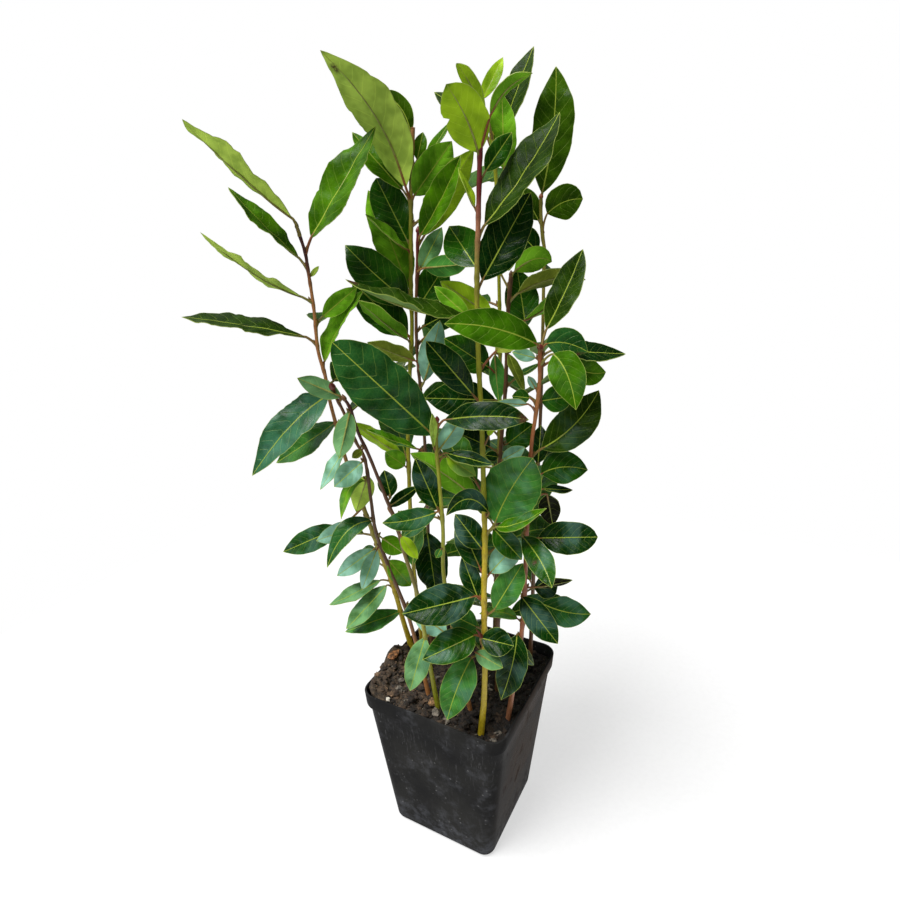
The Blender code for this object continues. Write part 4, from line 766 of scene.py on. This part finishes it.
def fine_leaf(builder, blade, number, upper, under, stalk):
    """A leaf with thin blade, curved halves, waved margins, a midrib and a petiole."""
    count = max(12, min(42, round(blade.span / FINE_STEP)))
    across = FINE_ACROSS if blade.width > 7 else NARROW_ACROSS
    bites = [bite for bite in BITES if bite.leaf == number]
    marks = [mark for mark in MARKS if mark.leaf == number]
    spacing = max(3.4, blade.span / VEIN_PAIRS)
    waves = blade.span / 5.0
    own = (number * 0.618) % 1.0
    points, places, natures, tones = [], [], [], []
    length, before = 0.0, blade.base
    for i in range(count + 1):
        t = i / count
        t = t + 0.35 * (0.5 - t) * 4 * t * (1 - t) * 0.2
        middle = blade.midrib(t)
        length += (middle - before).length
        before = middle
        if i in (0, count):
            points.append(middle)
            places.append((0.0, length, 0.0))
            natures.append((own, length / spacing, 0.0))
            tones.append((*upper, 0.0))
            continue
        side, up = blade.frame(t)
        share = fine_half(t, blade.outline)
        rise = math.sin(blade.fold)
        rib = (0.10 + 0.003 * blade.span) * (1 - 0.75 * t) + 0.05
        line = []
        for j in range(across + 1):
            s = 2 * j / across - 1
            s = math.copysign(abs(s) ** 0.9, s)
            hand = 1 if s > 0 else -1
            half = 0.5 * blade.width * share * (1 + RIPPLE * ripple(number, hand, waves * t))
            for bite in bites:
                if bite.hand == hand:
                    half *= 1 - bite.depth * math.exp(-((t - bite.at) / bite.length) ** 2)
            swell = blade.wave * share * math.sin(math.pi * blade.rows * t + blade.phase * (hand > 0))
            swell += RIPPLE_UP * blade.width * share * ripple(number + 50, hand, waves * t)
            lift = half * rise * (0.3 * abs(s) + 0.7 * math.sin(math.pi / 2 * abs(s)))
            lift += puckers(number, length, s * half, spacing) * share * (1 - abs(s) ** 3)
            place = middle + side * (s * half * math.cos(blade.fold)) + up * (lift + swell * abs(s) ** 1.5)
            line.append((place, s, half))
        for face, colour in ((1, upper), (-1, under)):
            for place, s, half in line[::face]:
                thick = FINE_THICKNESS + (RIM_THICKNESS - FINE_THICKNESS) * abs(s) ** 2
                x = s * half
                vein = (length - 0.7 * abs(x) - 0.4 * x * x / max(half, 0.1)) / spacing
                brown = 0.0
                for mark in marks:
                    gap = math.hypot((mark.at - t) * blade.span, (mark.across - s) * half)
                    brown = max(brown, 1 - smooth_step(0.4 * mark.radius, mark.radius, gap))
                points.append(place + up * (face * thick / 2))
                places.append((x, length, (1 - abs(s)) * half))
                natures.append((own, vein + (0.5 if s > 0 else 0.0), brown))
                tones.append((*colour, abs(x) / rib))
    faces, slots = [], []
    ring_count = 2 * (across + 1)
    upper_slot = DULL_SLOT if upper.x > DULL_RED * upper.y else UPPER_SLOT
    last = 1 + (count - 2) * ring_count
    for j in range(ring_count):
        k = (j + 1) % ring_count
        column = [(0, 1 + k, 1 + j)]
        for a in range(1, last, ring_count):
            column.append((a + j, a + k, a + k + ring_count, a + j + ring_count))
        column.append((last + j, last + k, last + ring_count))
        faces += column
        slots += [upper_slot if j <= across or j == ring_count - 1 else UNDER_SLOT] * len(column)
    builder.add(points, faces, slots, tones, places, natures)
    fine_rib(builder, blade, own, stalk)


def fine_rib(builder, blade, own, stalk):
    """The petiole and, as one with it, the midrib that stands out below the blade."""
    root, base = blade.root, blade.base
    along = (blade.bend - base).normalized()
    bend = base - along * 0.45 * (base - root).length
    curve, radii, tones = [], [], []
    steps = max(4, round((base - root).length / 1.5))
    thick = 0.36 + 0.005 * blade.span
    for i in range(steps):
        t = i / steps
        curve.append((1 - t) ** 2 * root + 2 * t * (1 - t) * (bend * 0.5 + (root + base) * 0.25)
                     + t * t * base)
        radii.append(thick * (1.5 - 0.5 * smooth_step(0.0, 0.5, t)))
        tones.append(stalk)
    ribs = max(8, min(22, round(blade.span / 2.5)))
    for i in range(ribs + 1):
        t = 0.93 * i / ribs
        radius = (thick - 0.1) * (1 - t) ** 0.9 + 0.06
        curve.append(blade.midrib(t) - blade.frame(t)[1] * (0.8 * radius * smooth_step(0.0, 0.15, t)))
        radii.append(radius)
        tones.append(stalk.lerp(PALE_RIB, smooth_step(0.0, 0.35, t)))
    guide = blade.normal
    if abs(guide.dot((base - root).normalized())) > 0.9:
        guide = blade.frame(0.0)[0]
    builder.add_tube(curve, radii, RIB_SIDES, STALK_SLOT, tones, lambda side, ring: (0.0, 1.5 * ring, 5.0),
                     own, guide)


def bud(builder, foot, tip, radius, tone, sides=8):
    """A small pointed bud."""
    shape = (0.55, 0.85, 1.0, 0.92, 0.7, 0.4, 0.08)
    curve = [foot.lerp(tip, i / (len(shape) - 1)) for i in range(len(shape))]
    along = (tip - foot).normalized()
    guide = Vector((0, 1, 0)) if abs(along.y) < 0.8 else Vector((1, 0, 0))
    builder.add_tube(curve, [radius * k for k in shape], sides, BARK_SLOT, [tone] * len(shape),
                     lambda side, ring: (side, ring * 0.7, 5.0), guide=guide)


def fine_stem(builder, name, blades):
    """A stem with a swelling at each node, coloured by height."""
    stem = STEMS[name]
    curve = through([Vector((*place, radius)) for place, radius in stem_path(stem)], STEM_STEP)
    heights, rows = [place.z for place in stem_places(stem)], stem_rows(stem)
    points, radii, tones = [], [], []
    for i, value in enumerate(curve):
        place, radius = value.to_3d(), value[3]
        slim = 1 - 0.14 * smooth_step(SOIL_LEVEL, SOIL_LEVEL + 25, place.z)
        slim -= 0.12 * smooth_step(SOIL_LEVEL + 40, SOIL_LEVEL + 160, place.z)
        gaps = [(blade.root - place).length for blade in blades]
        swell = max((math.exp(-(gap / 1.3) ** 2) for gap in gaps if gap < 4.0), default=0.0)
        radius *= slim * (1 + 0.25 * swell + 0.04 * noise.noise(Vector((3.0 * i, radius, 0.3))))
        points.append(place)
        radii.append(radius)
        tones.append(between(*zip(*BARK[name]), between(heights, rows, place.z)) * (1 - 0.25 * swell))
    builder.add_tube(points, radii, STEM_SIDES, BARK_SLOT, tones,
                     lambda side, ring: (math.cos(math.tau * side / STEM_SIDES), STEM_STEP * ring, 5.0))


def leafy_stem(name, blades, materials):
    """One stem with its leaves, petioles and buds, as one piece."""
    builder = Builder()
    own = [(number, blade) for number, blade in enumerate(blades) if blade.stem == name]
    fine_stem(builder, name, [blade for _, blade in own])
    for number, blade in own:
        chance = random.Random(number)
        shown = Vector(TONES[blade.tone]) * (1 + 0.12 * (chance.random() - 0.5))
        if blade.side == UNDER:
            upper, under = UPPER_BEHIND, shown
        else:
            upper, under = shown, UNDER_BEHIND.lerp(shown, 0.3)
        fine_leaf(builder, blade, number, upper, under, RED_STALK.lerp(GREEN_STALK, chance.random()))
        along = (blade.base - blade.root).normalized()
        rise = (Z_UP + 0.5 * along).normalized()
        foot = blade.root + along * 1.1 + rise * 0.4
        bud(builder, foot, foot + rise * 2.1, 0.55, GREEN_STALK.lerp(BUD_RED, 0.5), sides=RIB_SIDES)
    for owner, row, picture_tip, reach, radius, colour in BUDS:
        if owner == name:
            foot = place_on_stem(STEMS[name], row)
            tip = seen(picture_tip, foot.dot(AWAY) + reach)
            bud(builder, foot.lerp(tip, -0.2), tip, radius, colour)
    piece = builder.make(f"leafy_stem_{name}", materials)
    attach(piece, "root")
    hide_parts(f"stem_{name}")


# Pot


def wall_half(z):
    """Half the outer width of the wall below the rim band."""
    return BASE_HALF + (RIM_HALF - RIM_STEP - RIM_DRAFT - BASE_HALF) * z / BAND_FOOT


def corner_radius(z):
    return BASE_CORNER + (RIM_CORNER - BASE_CORNER) * z / POT_HEIGHT


def make_pot(material):
    """The pot with round corners, a rolled lip, a rim band and a thin wall."""
    outer = [
        (0.0, wall_half(0) - BASE_EDGE),
        (0.08 * BASE_EDGE, wall_half(0) - 0.6 * BASE_EDGE),
        (0.3 * BASE_EDGE, wall_half(0) - 0.3 * BASE_EDGE),
        (0.62 * BASE_EDGE, wall_half(0) - 0.07 * BASE_EDGE),
        *((z, wall_half(z)) for z in (BASE_EDGE, 12.0, 30.0, 50.0, 70.0, BAND_FOOT - 0.3)),
        (BAND_FOOT + 0.15, wall_half(BAND_FOOT) + 0.25),
        (BAND_FOOT + 0.6, RIM_HALF - 0.6),
        (BAND_FOOT + 1.2, RIM_HALF - 0.45),
        (POT_HEIGHT - LIP, RIM_HALF),
        (POT_HEIGHT - 0.3 * LIP, RIM_HALF - 0.3 * LIP),
        (POT_HEIGHT, RIM_HALF - LIP),
    ]
    inner = [
        (POT_HEIGHT, RIM_HALF - WALL + 0.3 * LIP),
        (POT_HEIGHT - 0.4 * LIP, RIM_HALF - WALL),
        (BAND_FOOT + 1.6, RIM_HALF - RIM_DRAFT - WALL),
        *((z, wall_half(level) - WALL) for z, level in (
            (BAND_FOOT + 0.4, BAND_FOOT), (30.0, 30.0), (WALL + BASE_EDGE, BASE_EDGE))),
        (WALL, wall_half(0) - BASE_EDGE - 0.3),
    ]
    rings = []
    for z, half in outer + inner:
        base_cut = wall_half(z) - half if z < BASE_EDGE + WALL else 0
        inset = RIM_HALF - half if z > BAND_FOOT and (z, half) in inner else 0
        corner = max(1.5, corner_radius(z) - min(base_cut, 3.0) - inset)
        rings.append(square_ring(half, corner, z, WALL_POINTS))
    builder = Builder()
    builder.add(*loft(rings), 0, Vector((0.02, 0.02, 0.02)))
    pot = builder.make("nursery_pot", [material], 35.0)
    cutters = [notch_cutter(side) for side in range(4)]
    for cutter in cutters:
        cut = pot.modifiers.new(cutter.name, "BOOLEAN")
        cut.operation = "DIFFERENCE"
        cut.solver = "EXACT"
        cut.object = cutter
    shape = bpy.data.meshes.new_from_object(pot.evaluated_get(bpy.context.evaluated_depsgraph_get()))
    pot.modifiers.clear()
    pot.data = shape
    smooth(shape, 35.0)
    for cutter in cutters:
        bpy.data.objects.remove(cutter, do_unlink=True)
    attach(pot, "root")
    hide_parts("pot")


def notch_cutter(side):
    """A block that cuts a low notch through the bottom edge of one side."""
    length, depth, height = NOTCH_SIZE
    turn = math.radians(90 * side)
    low = [turned(-0.2 * BASE_HALF + a * length / 2, -BASE_HALF + b * depth, turn, -height)
           for a, b in ((-1, -1), (1, -1), (1, 1), (-1, 1))]
    return add_mesh(f"notch_{side}", *loft([low, [point + 2 * height * Z_UP for point in low]]))


# Soil


def soil_height(x, y):
    """The soil's surface without its crumbs: higher on the left, with a heap at the left side."""
    from_heap = math.dist((x, y), HEAP_PLACE) / HEAP_RADIUS
    return SOIL_LEVEL - SOIL_SLOPE * x + HEAP_HEIGHT * math.exp(-from_heap ** 2)


def crumb(x, y):
    """Height of the soil's crumbs and bark chips at a place."""
    coarse = noise.noise(Vector((x, y, 3.0)) / 8.0)
    fine = noise.noise(Vector((x, y, 9.0)) / 3.6)
    return SOIL_CRUMB * (1.6 * coarse + fine)


def fine_crumb(x, y):
    """Height of the soil's grains, on top of the model's own crumbs."""
    place = Vector((x, y, 21.0))
    bent = place + 1.2 * noise.noise_vector(place / 3.0)
    grains = noise.voronoi(bent / 3.4)[0]
    small = noise.voronoi(bent / 1.5 + Vector((5, 5, 5)))[0]
    return 2.6 * (0.5 - grains[0]) + 1.0 * (0.45 - small[0]) + 0.4 * noise.noise(place / 0.9)


def soil_top(x, y):
    """The crumbly surface; along the left side it stands a little over the rim."""
    bank = BANK_HEIGHT * smooth_step(-27.0, -35.0, x) * smooth_step(14.0, 2.0, y)
    return soil_height(x, y) + bank + crumb(x, y) + fine_crumb(x, y)


def left_paleness(x):
    """The peat is paler towards the left."""
    return smooth_step(30.0, -38.0, x)


def make_soil(material):
    """The soil: a body in the pot, with a crumbly top of grains, bark and stones."""
    inside = floor = WALL + SOIL_GAP
    ledge = BAND_FOOT + 0.6 + WALL + SOIL_GAP
    profile = [(floor, wall_half(0) - BASE_EDGE - 0.4)]
    profile += [(z, wall_half(z) - inside - 0.1) for z in (floor + BASE_EDGE, ledge - 2.2, ledge)]
    rings = [square_ring(half, corner_radius(z) - inside, z, SOIL_POINTS) for z, half in profile]
    edge_half = RIM_HALF - RIM_DRAFT - inside - 0.2
    for i in range(SOIL_RINGS):
        share = 1 - (i / SOIL_RINGS) ** 0.95
        ring = square_ring(edge_half * share, (RIM_CORNER - inside) * share, 0.0, SOIL_POINTS)
        for point in ring:
            drop = 1.2 * (1 - smooth_step(0.0, 0.06, 1 - share))
            point.z = max(soil_top(point.x, point.y) - drop, ledge + 0.4)
        rings.append(ring)
    points, faces = loft(rings)
    # Painted shade and light: the peat is darker in the hollows between grains and lighter on their tops.
    tones = [PEAT.lerp(PALE_PEAT, left_paleness(x)) * (0.45 + 1.5 * smooth_step(-1.6, 1.4, fine_crumb(x, y)))
             for x, y, _ in points]
    builder = Builder()
    builder.add(points, faces, 0, tones)
    scatter(builder, edge_half)
    soil = builder.make("peat", [material], 40.0)
    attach(soil, "root")
    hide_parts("soil")


PEAT, PALE_PEAT = Vector((0.012, 0.008, 0.0055)), Vector((0.050, 0.036, 0.024))
BARK_CHIP = Vector((0.095, 0.062, 0.038))
GRIT, WHITE_BIT = Vector((0.20, 0.18, 0.15)), Vector((0.6, 0.58, 0.52))
PALE_STONE, ORANGE_BARK = Vector((0.42, 0.25, 0.12)), Vector((0.34, 0.15, 0.06))

# Stones and chips that stand out: picture point, size, colour, height by width
PIECES = (
    ((432, 704), 2.4, PALE_STONE, 0.8),
    ((436, 714), 2.4, GRIT, 0.7),
    ((400, 690), 2.0, GRIT, 0.7),
    ((388, 700), 1.2, WHITE_BIT, 0.8),
    ((548, 653), 0.8, WHITE_BIT, 0.8),
    ((446, 722), 2.2, GRIT * 0.6, 0.8),
    ((393, 657), 3.0, ORANGE_BARK, 0.6),
    ((401, 662), 2.6, BARK_CHIP * 1.6, 0.5),
    ((384, 668), 2.2, BARK_CHIP * 1.5, 0.6),
    ((378, 676), 2.0, BARK_CHIP * 1.3, 0.6),
    ((407, 674), 2.6, BARK_CHIP * 1.3, 0.6),
)


def lump(builder, centre, size, tone, flat, chance):
    """An irregular grain, chip or stone."""
    turn = chance.random() * math.tau
    long_side = 0.75 + 0.6 * chance.random()
    seed = Vector((chance.random() * 50, chance.random() * 50, 0))
    levels, sides = 6, 9
    points, faces = [], []
    for i in range(1, levels):
        polar = math.pi * i / levels
        for k in range(sides):
            a = math.tau * k / sides
            way = Vector((math.sin(polar) * math.cos(a), math.sin(polar) * math.sin(a), -math.cos(polar)))
            bulk = size * (1 + 0.5 * noise.noise(way * 1.5 + seed) + 0.3 * noise.noise(way * 3.3 + seed))
            points.append(centre + turned(way.x * long_side * bulk, way.y * bulk / long_side, turn,
                                          way.z * flat * bulk))
    points += [centre - flat * size * Z_UP, centre + flat * size * Z_UP]
    bottom, top = len(points) - 2, len(points) - 1
    last = (levels - 2) * sides
    for k in range(sides):
        n = (k + 1) % sides
        faces.append((bottom, n, k))
        faces += [(i + k, i + n, i + n + sides, i + k + sides) for i in range(0, last, sides)]
        faces.append((last + k, last + n, top))
    builder.add(points, faces, 0, tone)


def scatter(builder, half):
    """Grains and chips over the soil, in a fixed order."""
    chance = random.Random(GRAIN_SEED)
    feet = [stem_path(stem)[1][0] for stem in STEMS.values()]
    corner = half - 6
    for _ in range(GRAINS):
        x, y = (chance.uniform(-half + 1.5, half - 1.5) for _ in range(2))
        size = 0.45 + 1.6 * chance.random() ** 2.6
        kind = chance.random()
        if min(math.dist((x, y), foot.xy) for foot in feet) < size + 1.9:
            continue
        if min(abs(x), abs(y)) > corner and math.dist((abs(x), abs(y)), (corner, corner)) > 4.5:
            continue
        tone = PEAT.lerp(BARK_CHIP, kind ** 1.6) * (0.4 + 0.7 * left_paleness(x)) * (0.5 + 1.2 * chance.random())
        if kind > 0.96:
            tone = GRIT * (0.5 + 0.7 * chance.random())
        flat = 0.35 + 0.5 * chance.random()
        lump(builder, Vector((x, y, soil_top(x, y) + 0.3 * size)), size, tone, flat, chance)
    for at, size, tone, flat in PIECES:
        lump(builder, seen_on_soil(at) + 0.4 * size * Z_UP, size, tone, flat, chance)


# Materials


class Nodes:
    """Short calls for the nodes of one tree.  An input is a value or another node's output."""

    def __init__(self, tree):
        self.tree = tree

    def put(self, node, key, value):
        socket = node.inputs[key]
        if isinstance(value, bpy.types.NodeSocket):
            self.tree.links.new(value, socket)
        else:
            socket.default_value = (*value, 1.0) if socket.type == "RGBA" else value

    def add(self, kind, inputs=None, **settings):
        made = self.tree.nodes.new("ShaderNode" + kind)
        for key, value in settings.items():
            setattr(made, key, value)
        for key, value in (inputs or {}).items():
            self.put(made, key, value)
        return made.outputs

    def calc(self, operation, first, second):
        return self.add("Math", {0: first, 1: second}, operation=operation)[0]

    def times(self, *factors):
        product = factors[0]
        for factor in factors[1:]:
            product = self.calc("MULTIPLY", product, factor)
        return product

    def plus(self, first, second):
        return self.calc("ADD", first, second)

    def ramp(self, value, low, high, start=0.0, end=1.0):
        """A smooth change from start to end as the value goes from low to high."""
        return self.add("MapRange", {"Value": value, "From Min": low, "From Max": high,
                                     "To Min": start, "To Max": end},
                        interpolation_type="SMOOTHSTEP")["Result"]

    def mix(self, share, first, second, how="MIX"):
        """Two colours mixed: sockets 6 and 7 are the colours of the node, and output 2 is its colour."""
        return self.add("Mix", {0: share, 6: first, 7: second}, data_type="RGBA", blend_type=how)[2]

    def coats(self, colour, *coats):
        """Coats over a colour, each with its shares, which are multiplied, and its own colour."""
        for *shares, coat in coats:
            colour = self.mix(self.times(*shares), colour, coat)
        return colour

    def speckle(self, vector, scale, detail=2.0, rough=0.5):
        return self.add("TexNoise", {"Vector": vector, "Scale": scale, "Detail": detail,
                                     "Roughness": rough})["Fac"]

    def cells(self, vector, scale, **settings):
        return self.add("TexVoronoi", {"Vector": vector, "Scale": scale}, **settings)["Distance"]

    def attribute(self, name, output="Vector"):
        return self.add("Attribute", attribute_name=name)[output]

    def parts(self, vector):
        return self.add("SeparateXYZ", {0: vector})

    def joined(self, x, y, z):
        return self.add("CombineXYZ", {0: x, 1: y, 2: z})[0]

    def coordinates(self, kind="Object"):
        return self.add("TexCoord")[kind]


class Surface(Nodes):
    def __init__(self, name):
        self.material = bpy.data.materials.new(name)
        self.material.use_nodes = True
        super().__init__(self.material.node_tree)

    def finish(self, colour, rough, height, depth, shine=0.5):
        """height: the bump's height, in shares of its depth in millimetres."""
        bump = self.add("Bump", {"Strength": 1.0, "Distance": depth * MM, "Height": height})[0]
        for key, value in {"Base Color": colour, "Roughness": rough, "Normal": bump,
                           "Specular IOR Level": shine}.items():
            self.put(self.tree.nodes["Principled BSDF"], key, value)
        return self.material


def leaf_material(name, upper, shine):
    """A leaf's face: its own colour with veins, a fine net, a pale margin and some brown, under broad
    patches of painted light and shade.  Upper faces low on the plant get a painted bluish sheen in patches."""
    s = Surface(name)
    across, along, margin = s.parts(s.attribute("place"))
    own, vein, brown = s.parts(s.attribute("nature"))
    place = s.joined(across, along, s.times(own, 60.0))
    broad, fine = s.speckle(place, 0.13), s.speckle(place, 1.3, 3.0)
    vein = s.plus(vein, s.times(s.plus(broad, -0.5), 0.6))
    fold = s.calc("PINGPONG", vein, 0.5)
    line = s.times(s.ramp(fold, 0.01, 0.06, 1.0, 0.0), s.ramp(margin, 0.3, 2.2))
    net = s.ramp(s.cells(place, 0.75, feature="DISTANCE_TO_EDGE"), 0.0, 0.11, 1.0, 0.0)
    rib = s.ramp(s.attribute("tone", "Alpha"), 0.7, 1.5, 1.0, 0.0)
    edge = s.ramp(margin, 0.04, 0.27, 1.0, 0.0)
    # Broad random patches, lighter and darker: besides the leaf's own uneven tone they stand in for
    # highlights and shade across the blade (painted light and shade), strongest on upper faces.
    cloud = s.mix(s.ramp(broad, 0.33, 0.67), (1.25, 1.22, 1.15),
                  (0.50, 0.58, 0.40) if upper else (0.76, 0.80, 0.68))
    colour = s.mix(1.0, s.attribute("tone", "Color"), cloud, "MULTIPLY")
    if upper:
        # Painted sheen: bluish patches on upper faces low on the plant, which stand in for the gloss those
        # leaves reflect.
        sheen_low_down = s.ramp(s.parts(s.coordinates())[2], 0.19, 0.28, 0.28, 0.0)
        colour = s.coats(colour, (s.ramp(s.speckle(place, 0.1), 0.48, 0.68), sheen_low_down, (0.15, 0.32, 0.26)))
    light = s.mix(0.35, s.mix(1.0, colour, (1.7, 1.6, 1.6), "MULTIPLY"), (0.34, 0.46, 0.08))
    spots = s.ramp(s.cells(place, 0.16), 0.02, 0.06, 1.0, 0.0)
    colour = s.coats(colour, (net, 0.12 if upper else 0.08, light), (line, 0.60 if upper else 0.65, light),
                     (rib, (0.36, 0.46, 0.055)), (edge, 0.75, (0.42, 0.52, 0.11)),
                     (brown, s.ramp(fine, 0.3, 0.5), (0.075, 0.035, 0.018)),
                     (spots, s.ramp(fine, 0.4, 0.55), 0.6, (0.10, 0.06, 0.03)))
    rough = s.ramp(s.speckle(place, 0.35, 3.0), 0.3, 0.7, *((0.20, 0.36) if upper else (0.45, 0.60)))
    height = s.times(s.plus(line, s.times(net, 0.2)), -1.0 if upper else 1.0)
    pillow = s.times(s.ramp(fold, 0.0, 0.5), 0.5 if upper else 0.3)
    height = s.plus(s.plus(height, pillow), s.times(fine, 0.15))
    return s.finish(colour, rough, height, 0.09 if upper else 0.04, shine)


def stalk_material(name, streak):
    """Bark or petiole: its own colour with fine streaks and small pale dots."""
    s = Surface(name)
    around, along, _ = s.parts(s.attribute("place"))
    place = s.coordinates()
    grain = s.speckle(s.joined(s.times(around, 3.0), s.times(along, 0.35), 0.0), 1.6, 4.0, 0.6)
    patch = s.speckle(place, 90.0, 3.0)
    dots = s.ramp(s.cells(place, 420.0), 0.05, 0.14, 0.5, 0.0)
    colour = s.mix(s.ramp(grain, 0.35, 0.7), s.attribute("tone", "Color"),
                   (streak, streak * 0.85, streak * 0.7), "MULTIPLY")
    colour = s.mix(s.ramp(patch, 0.4, 0.75, 0.0, 0.4), colour, (0.75, 0.62, 0.5), "MULTIPLY")
    colour = s.coats(colour, (dots, 0.4, (0.30, 0.20, 0.10)))
    return s.finish(colour, s.ramp(patch, 0.3, 0.7, 0.34, 0.52), s.plus(grain, s.times(dots, 0.6)), 0.05)


def plastic_material():
    """Black moulded plastic: dusty and scuffed, with a painted warm brown reflection on its +X face."""
    s = Surface("pot_plastic")
    place = s.coordinates()
    _, y, z = s.parts(place)
    side_x = s.parts(s.add("NewGeometry")["Normal"])[0]
    broad = s.speckle(place, 34.0, 5.0, 0.62)
    dust = s.speckle(place, 160.0, 6.0, 0.7)
    grit = s.speckle(place, 900.0, 2.0, 0.6)
    blot = s.speckle(place, 75.0, 5.0, 0.7)
    scratch = s.speckle(s.add("Mapping", {"Vector": place, "Scale": (900.0, 900.0, 55.0)})[0], 1.0, 3.0, 0.7)
    film = s.times(s.ramp(blot, 0.47, 0.66), s.ramp(dust, 0.4, 0.66))
    foot = s.times(s.ramp(z, 0.0, 0.03, 1.0, 0.0), s.ramp(dust, 0.42, 0.62))
    under_rim = s.times(s.ramp(z, 0.05, 0.08), s.ramp(z, 0.0825, 0.0845, 1.0, 0.0))
    marks = s.times(s.ramp(scratch, 0.55, 0.70), s.plus(under_rim, 0.15), s.ramp(broad, 0.35, 0.6))
    specks = s.times(s.ramp(s.cells(place, 260.0), 0.06, 0.17, 1.0, 0.0), s.ramp(blot, 0.45, 0.6))
    # Painted reflection: a warm brown patch on the +X face, towards the back, which stands in for a brown
    # surface mirrored there.
    painted_warm_reflection = s.times(s.ramp(side_x, 0.6, 0.97), s.ramp(y, -0.036, -0.01), s.ramp(z, -0.02, 0.05),
                   s.ramp(s.speckle(place, 70.0, 4.0), 0.25, 0.7, 0.35, 1.0))
    black = s.mix(s.ramp(broad, 0.3, 0.7), (0.015, 0.015, 0.0155), (0.027, 0.0265, 0.025))
    colour = s.coats(black, (film, 0.55, (0.085, 0.087, 0.095)), (foot, 0.45, (0.11, 0.115, 0.13)),
                     (marks, 0.55, (0.16, 0.16, 0.17)), (specks, 0.5, (0.22, 0.22, 0.22)),
                     (painted_warm_reflection, 0.85, (0.038, 0.021, 0.011)))
    rough = s.ramp(s.plus(film, foot), 0.0, 0.8, 0.34, 0.62)
    height = s.plus(s.times(grit, 0.5), s.times(marks, -0.8))
    return s.finish(colour, rough, s.plus(height, s.times(blot, 0.8)), 0.2, shine=0.006)


def soil_material():
    """Dark damp peat with fibres; the grains bring their own colours."""
    s = Surface("peat")
    place = s.coordinates()
    coarse, fine = s.speckle(place, 420.0, 5.0, 0.7), s.speckle(place, 1300.0, 4.0, 0.7)
    colour = s.mix(s.ramp(coarse, 0.38, 0.62), (0.3, 0.3, 0.3), (1.9, 1.8, 1.7))
    colour = s.mix(1.0, s.attribute("tone", "Color"), colour, "MULTIPLY")
    colour = s.coats(colour, (s.ramp(fine, 0.60, 0.74, 0.0, 0.55), (0.13, 0.085, 0.05)))
    return s.finish(colour, s.ramp(coarse, 0.3, 0.7, 0.6, 0.95), s.plus(coarse, s.times(fine, 0.6)), 1.0)


def floor_material():
    """Pale paper that also shines a little by itself, so that shadows stay pale."""
    s = Surface("studio_paper")
    grain = s.speckle(s.coordinates(), 300.0, 3.0)
    shader = s.tree.nodes["Principled BSDF"]
    s.put(shader, "Base Color", s.mix(s.ramp(grain, 0.3, 0.7), (0.37, 0.37, 0.37), (0.39, 0.39, 0.39)))
    for key, value in {"Emission Color": (1.0, 1.0, 1.0), "Emission Strength": 0.6,
                       "Roughness": 0.9}.items():
        s.put(shader, key, value)
    return s.material


# Studio


def make_floor():
    corners = [Vector((x, y, 0.0)) * FLOOR_HALF for x, y in ((-1, -1), (1, -1), (1, 1), (-1, 1))]
    floor = add_mesh("floor", corners, [(0, 1, 2, 3)], [floor_material()])


def make_camera():
    data = bpy.data.cameras.new("camera")
    data.sensor_width = FILM_WIDTH
    data.lens = FOCAL_PIXELS / PICTURE_SIZE * FILM_WIDTH
    data.clip_start = 0.01
    camera = add_object("camera", data)
    rows = [[RIGHT[i], UP[i], -FORWARD[i], EYE[i] * MM] for i in range(3)]
    camera.matrix_world = Matrix((*rows, (0, 0, 0, 1)))
    bpy.context.scene.camera = camera


def make_sun():
    """An even soft light from far off, by its way right, up and toward the camera."""
    data = bpy.data.lights.new("key", "SUN")
    data.energy = SUN_STRENGTH
    data.angle = SUN_SPREAD
    right, up, near = SUN_WAY
    way = LEVEL_RIGHT * right + Z_UP * up - AWAY * near
    add_object("key", data).rotation_euler = way.to_track_quat("Z", "Y").to_euler()


def make_world():
    """A white background that lights the plant by its fill alone.  It shines in glossy faces only
    from a broad soft patch, high on the left and behind."""
    world = bpy.data.worlds.new("studio")
    world.use_nodes = True
    nodes = Nodes(world.node_tree)
    background = world.node_tree.nodes["Background"]
    path = nodes.add("LightPath")
    patch = (Z_UP * 0.75 - 0.55 * LEVEL_RIGHT + 0.1 * AWAY).normalized()
    toward = nodes.add("VectorMath", {0: nodes.coordinates("Generated"), 1: patch},
                       operation="DOT_PRODUCT")["Value"]
    glossy = nodes.ramp(toward, 0.45, 0.9, WORLD_DIM, WORLD_SHINE)
    strength = nodes.ramp(path["Is Glossy Ray"], 0.0, 1.0, WORLD_FILL, glossy)
    nodes.put(background, "Color", (1, 1, 1))
    nodes.put(background, "Strength", nodes.ramp(path["Is Camera Ray"], 0.0, 1.0, strength, 1.0))
    bpy.context.scene.world = world


def main():
    noise.seed_set(NOISE_SEED)
    blades = [seen_leaf(leaf, number) for number, leaf in enumerate(LEAVES)]
    blades += far_leaves(len(blades))
    materials = [stalk_material("bark", 0.72), leaf_material("leaf_upper", True, 0.12),
                 leaf_material("leaf_under", False, 0.05), stalk_material("petiole", 0.8),
                 leaf_material("leaf_olive", True, 0.045)]
    for name in STEMS:
        leafy_stem(name, blades, materials)
    make_pot(plastic_material())
    make_soil(soil_material())
    make_floor()
    make_camera()
    make_world()
    make_sun()
    bpy.context.scene.view_settings.view_transform = "Standard"


main()
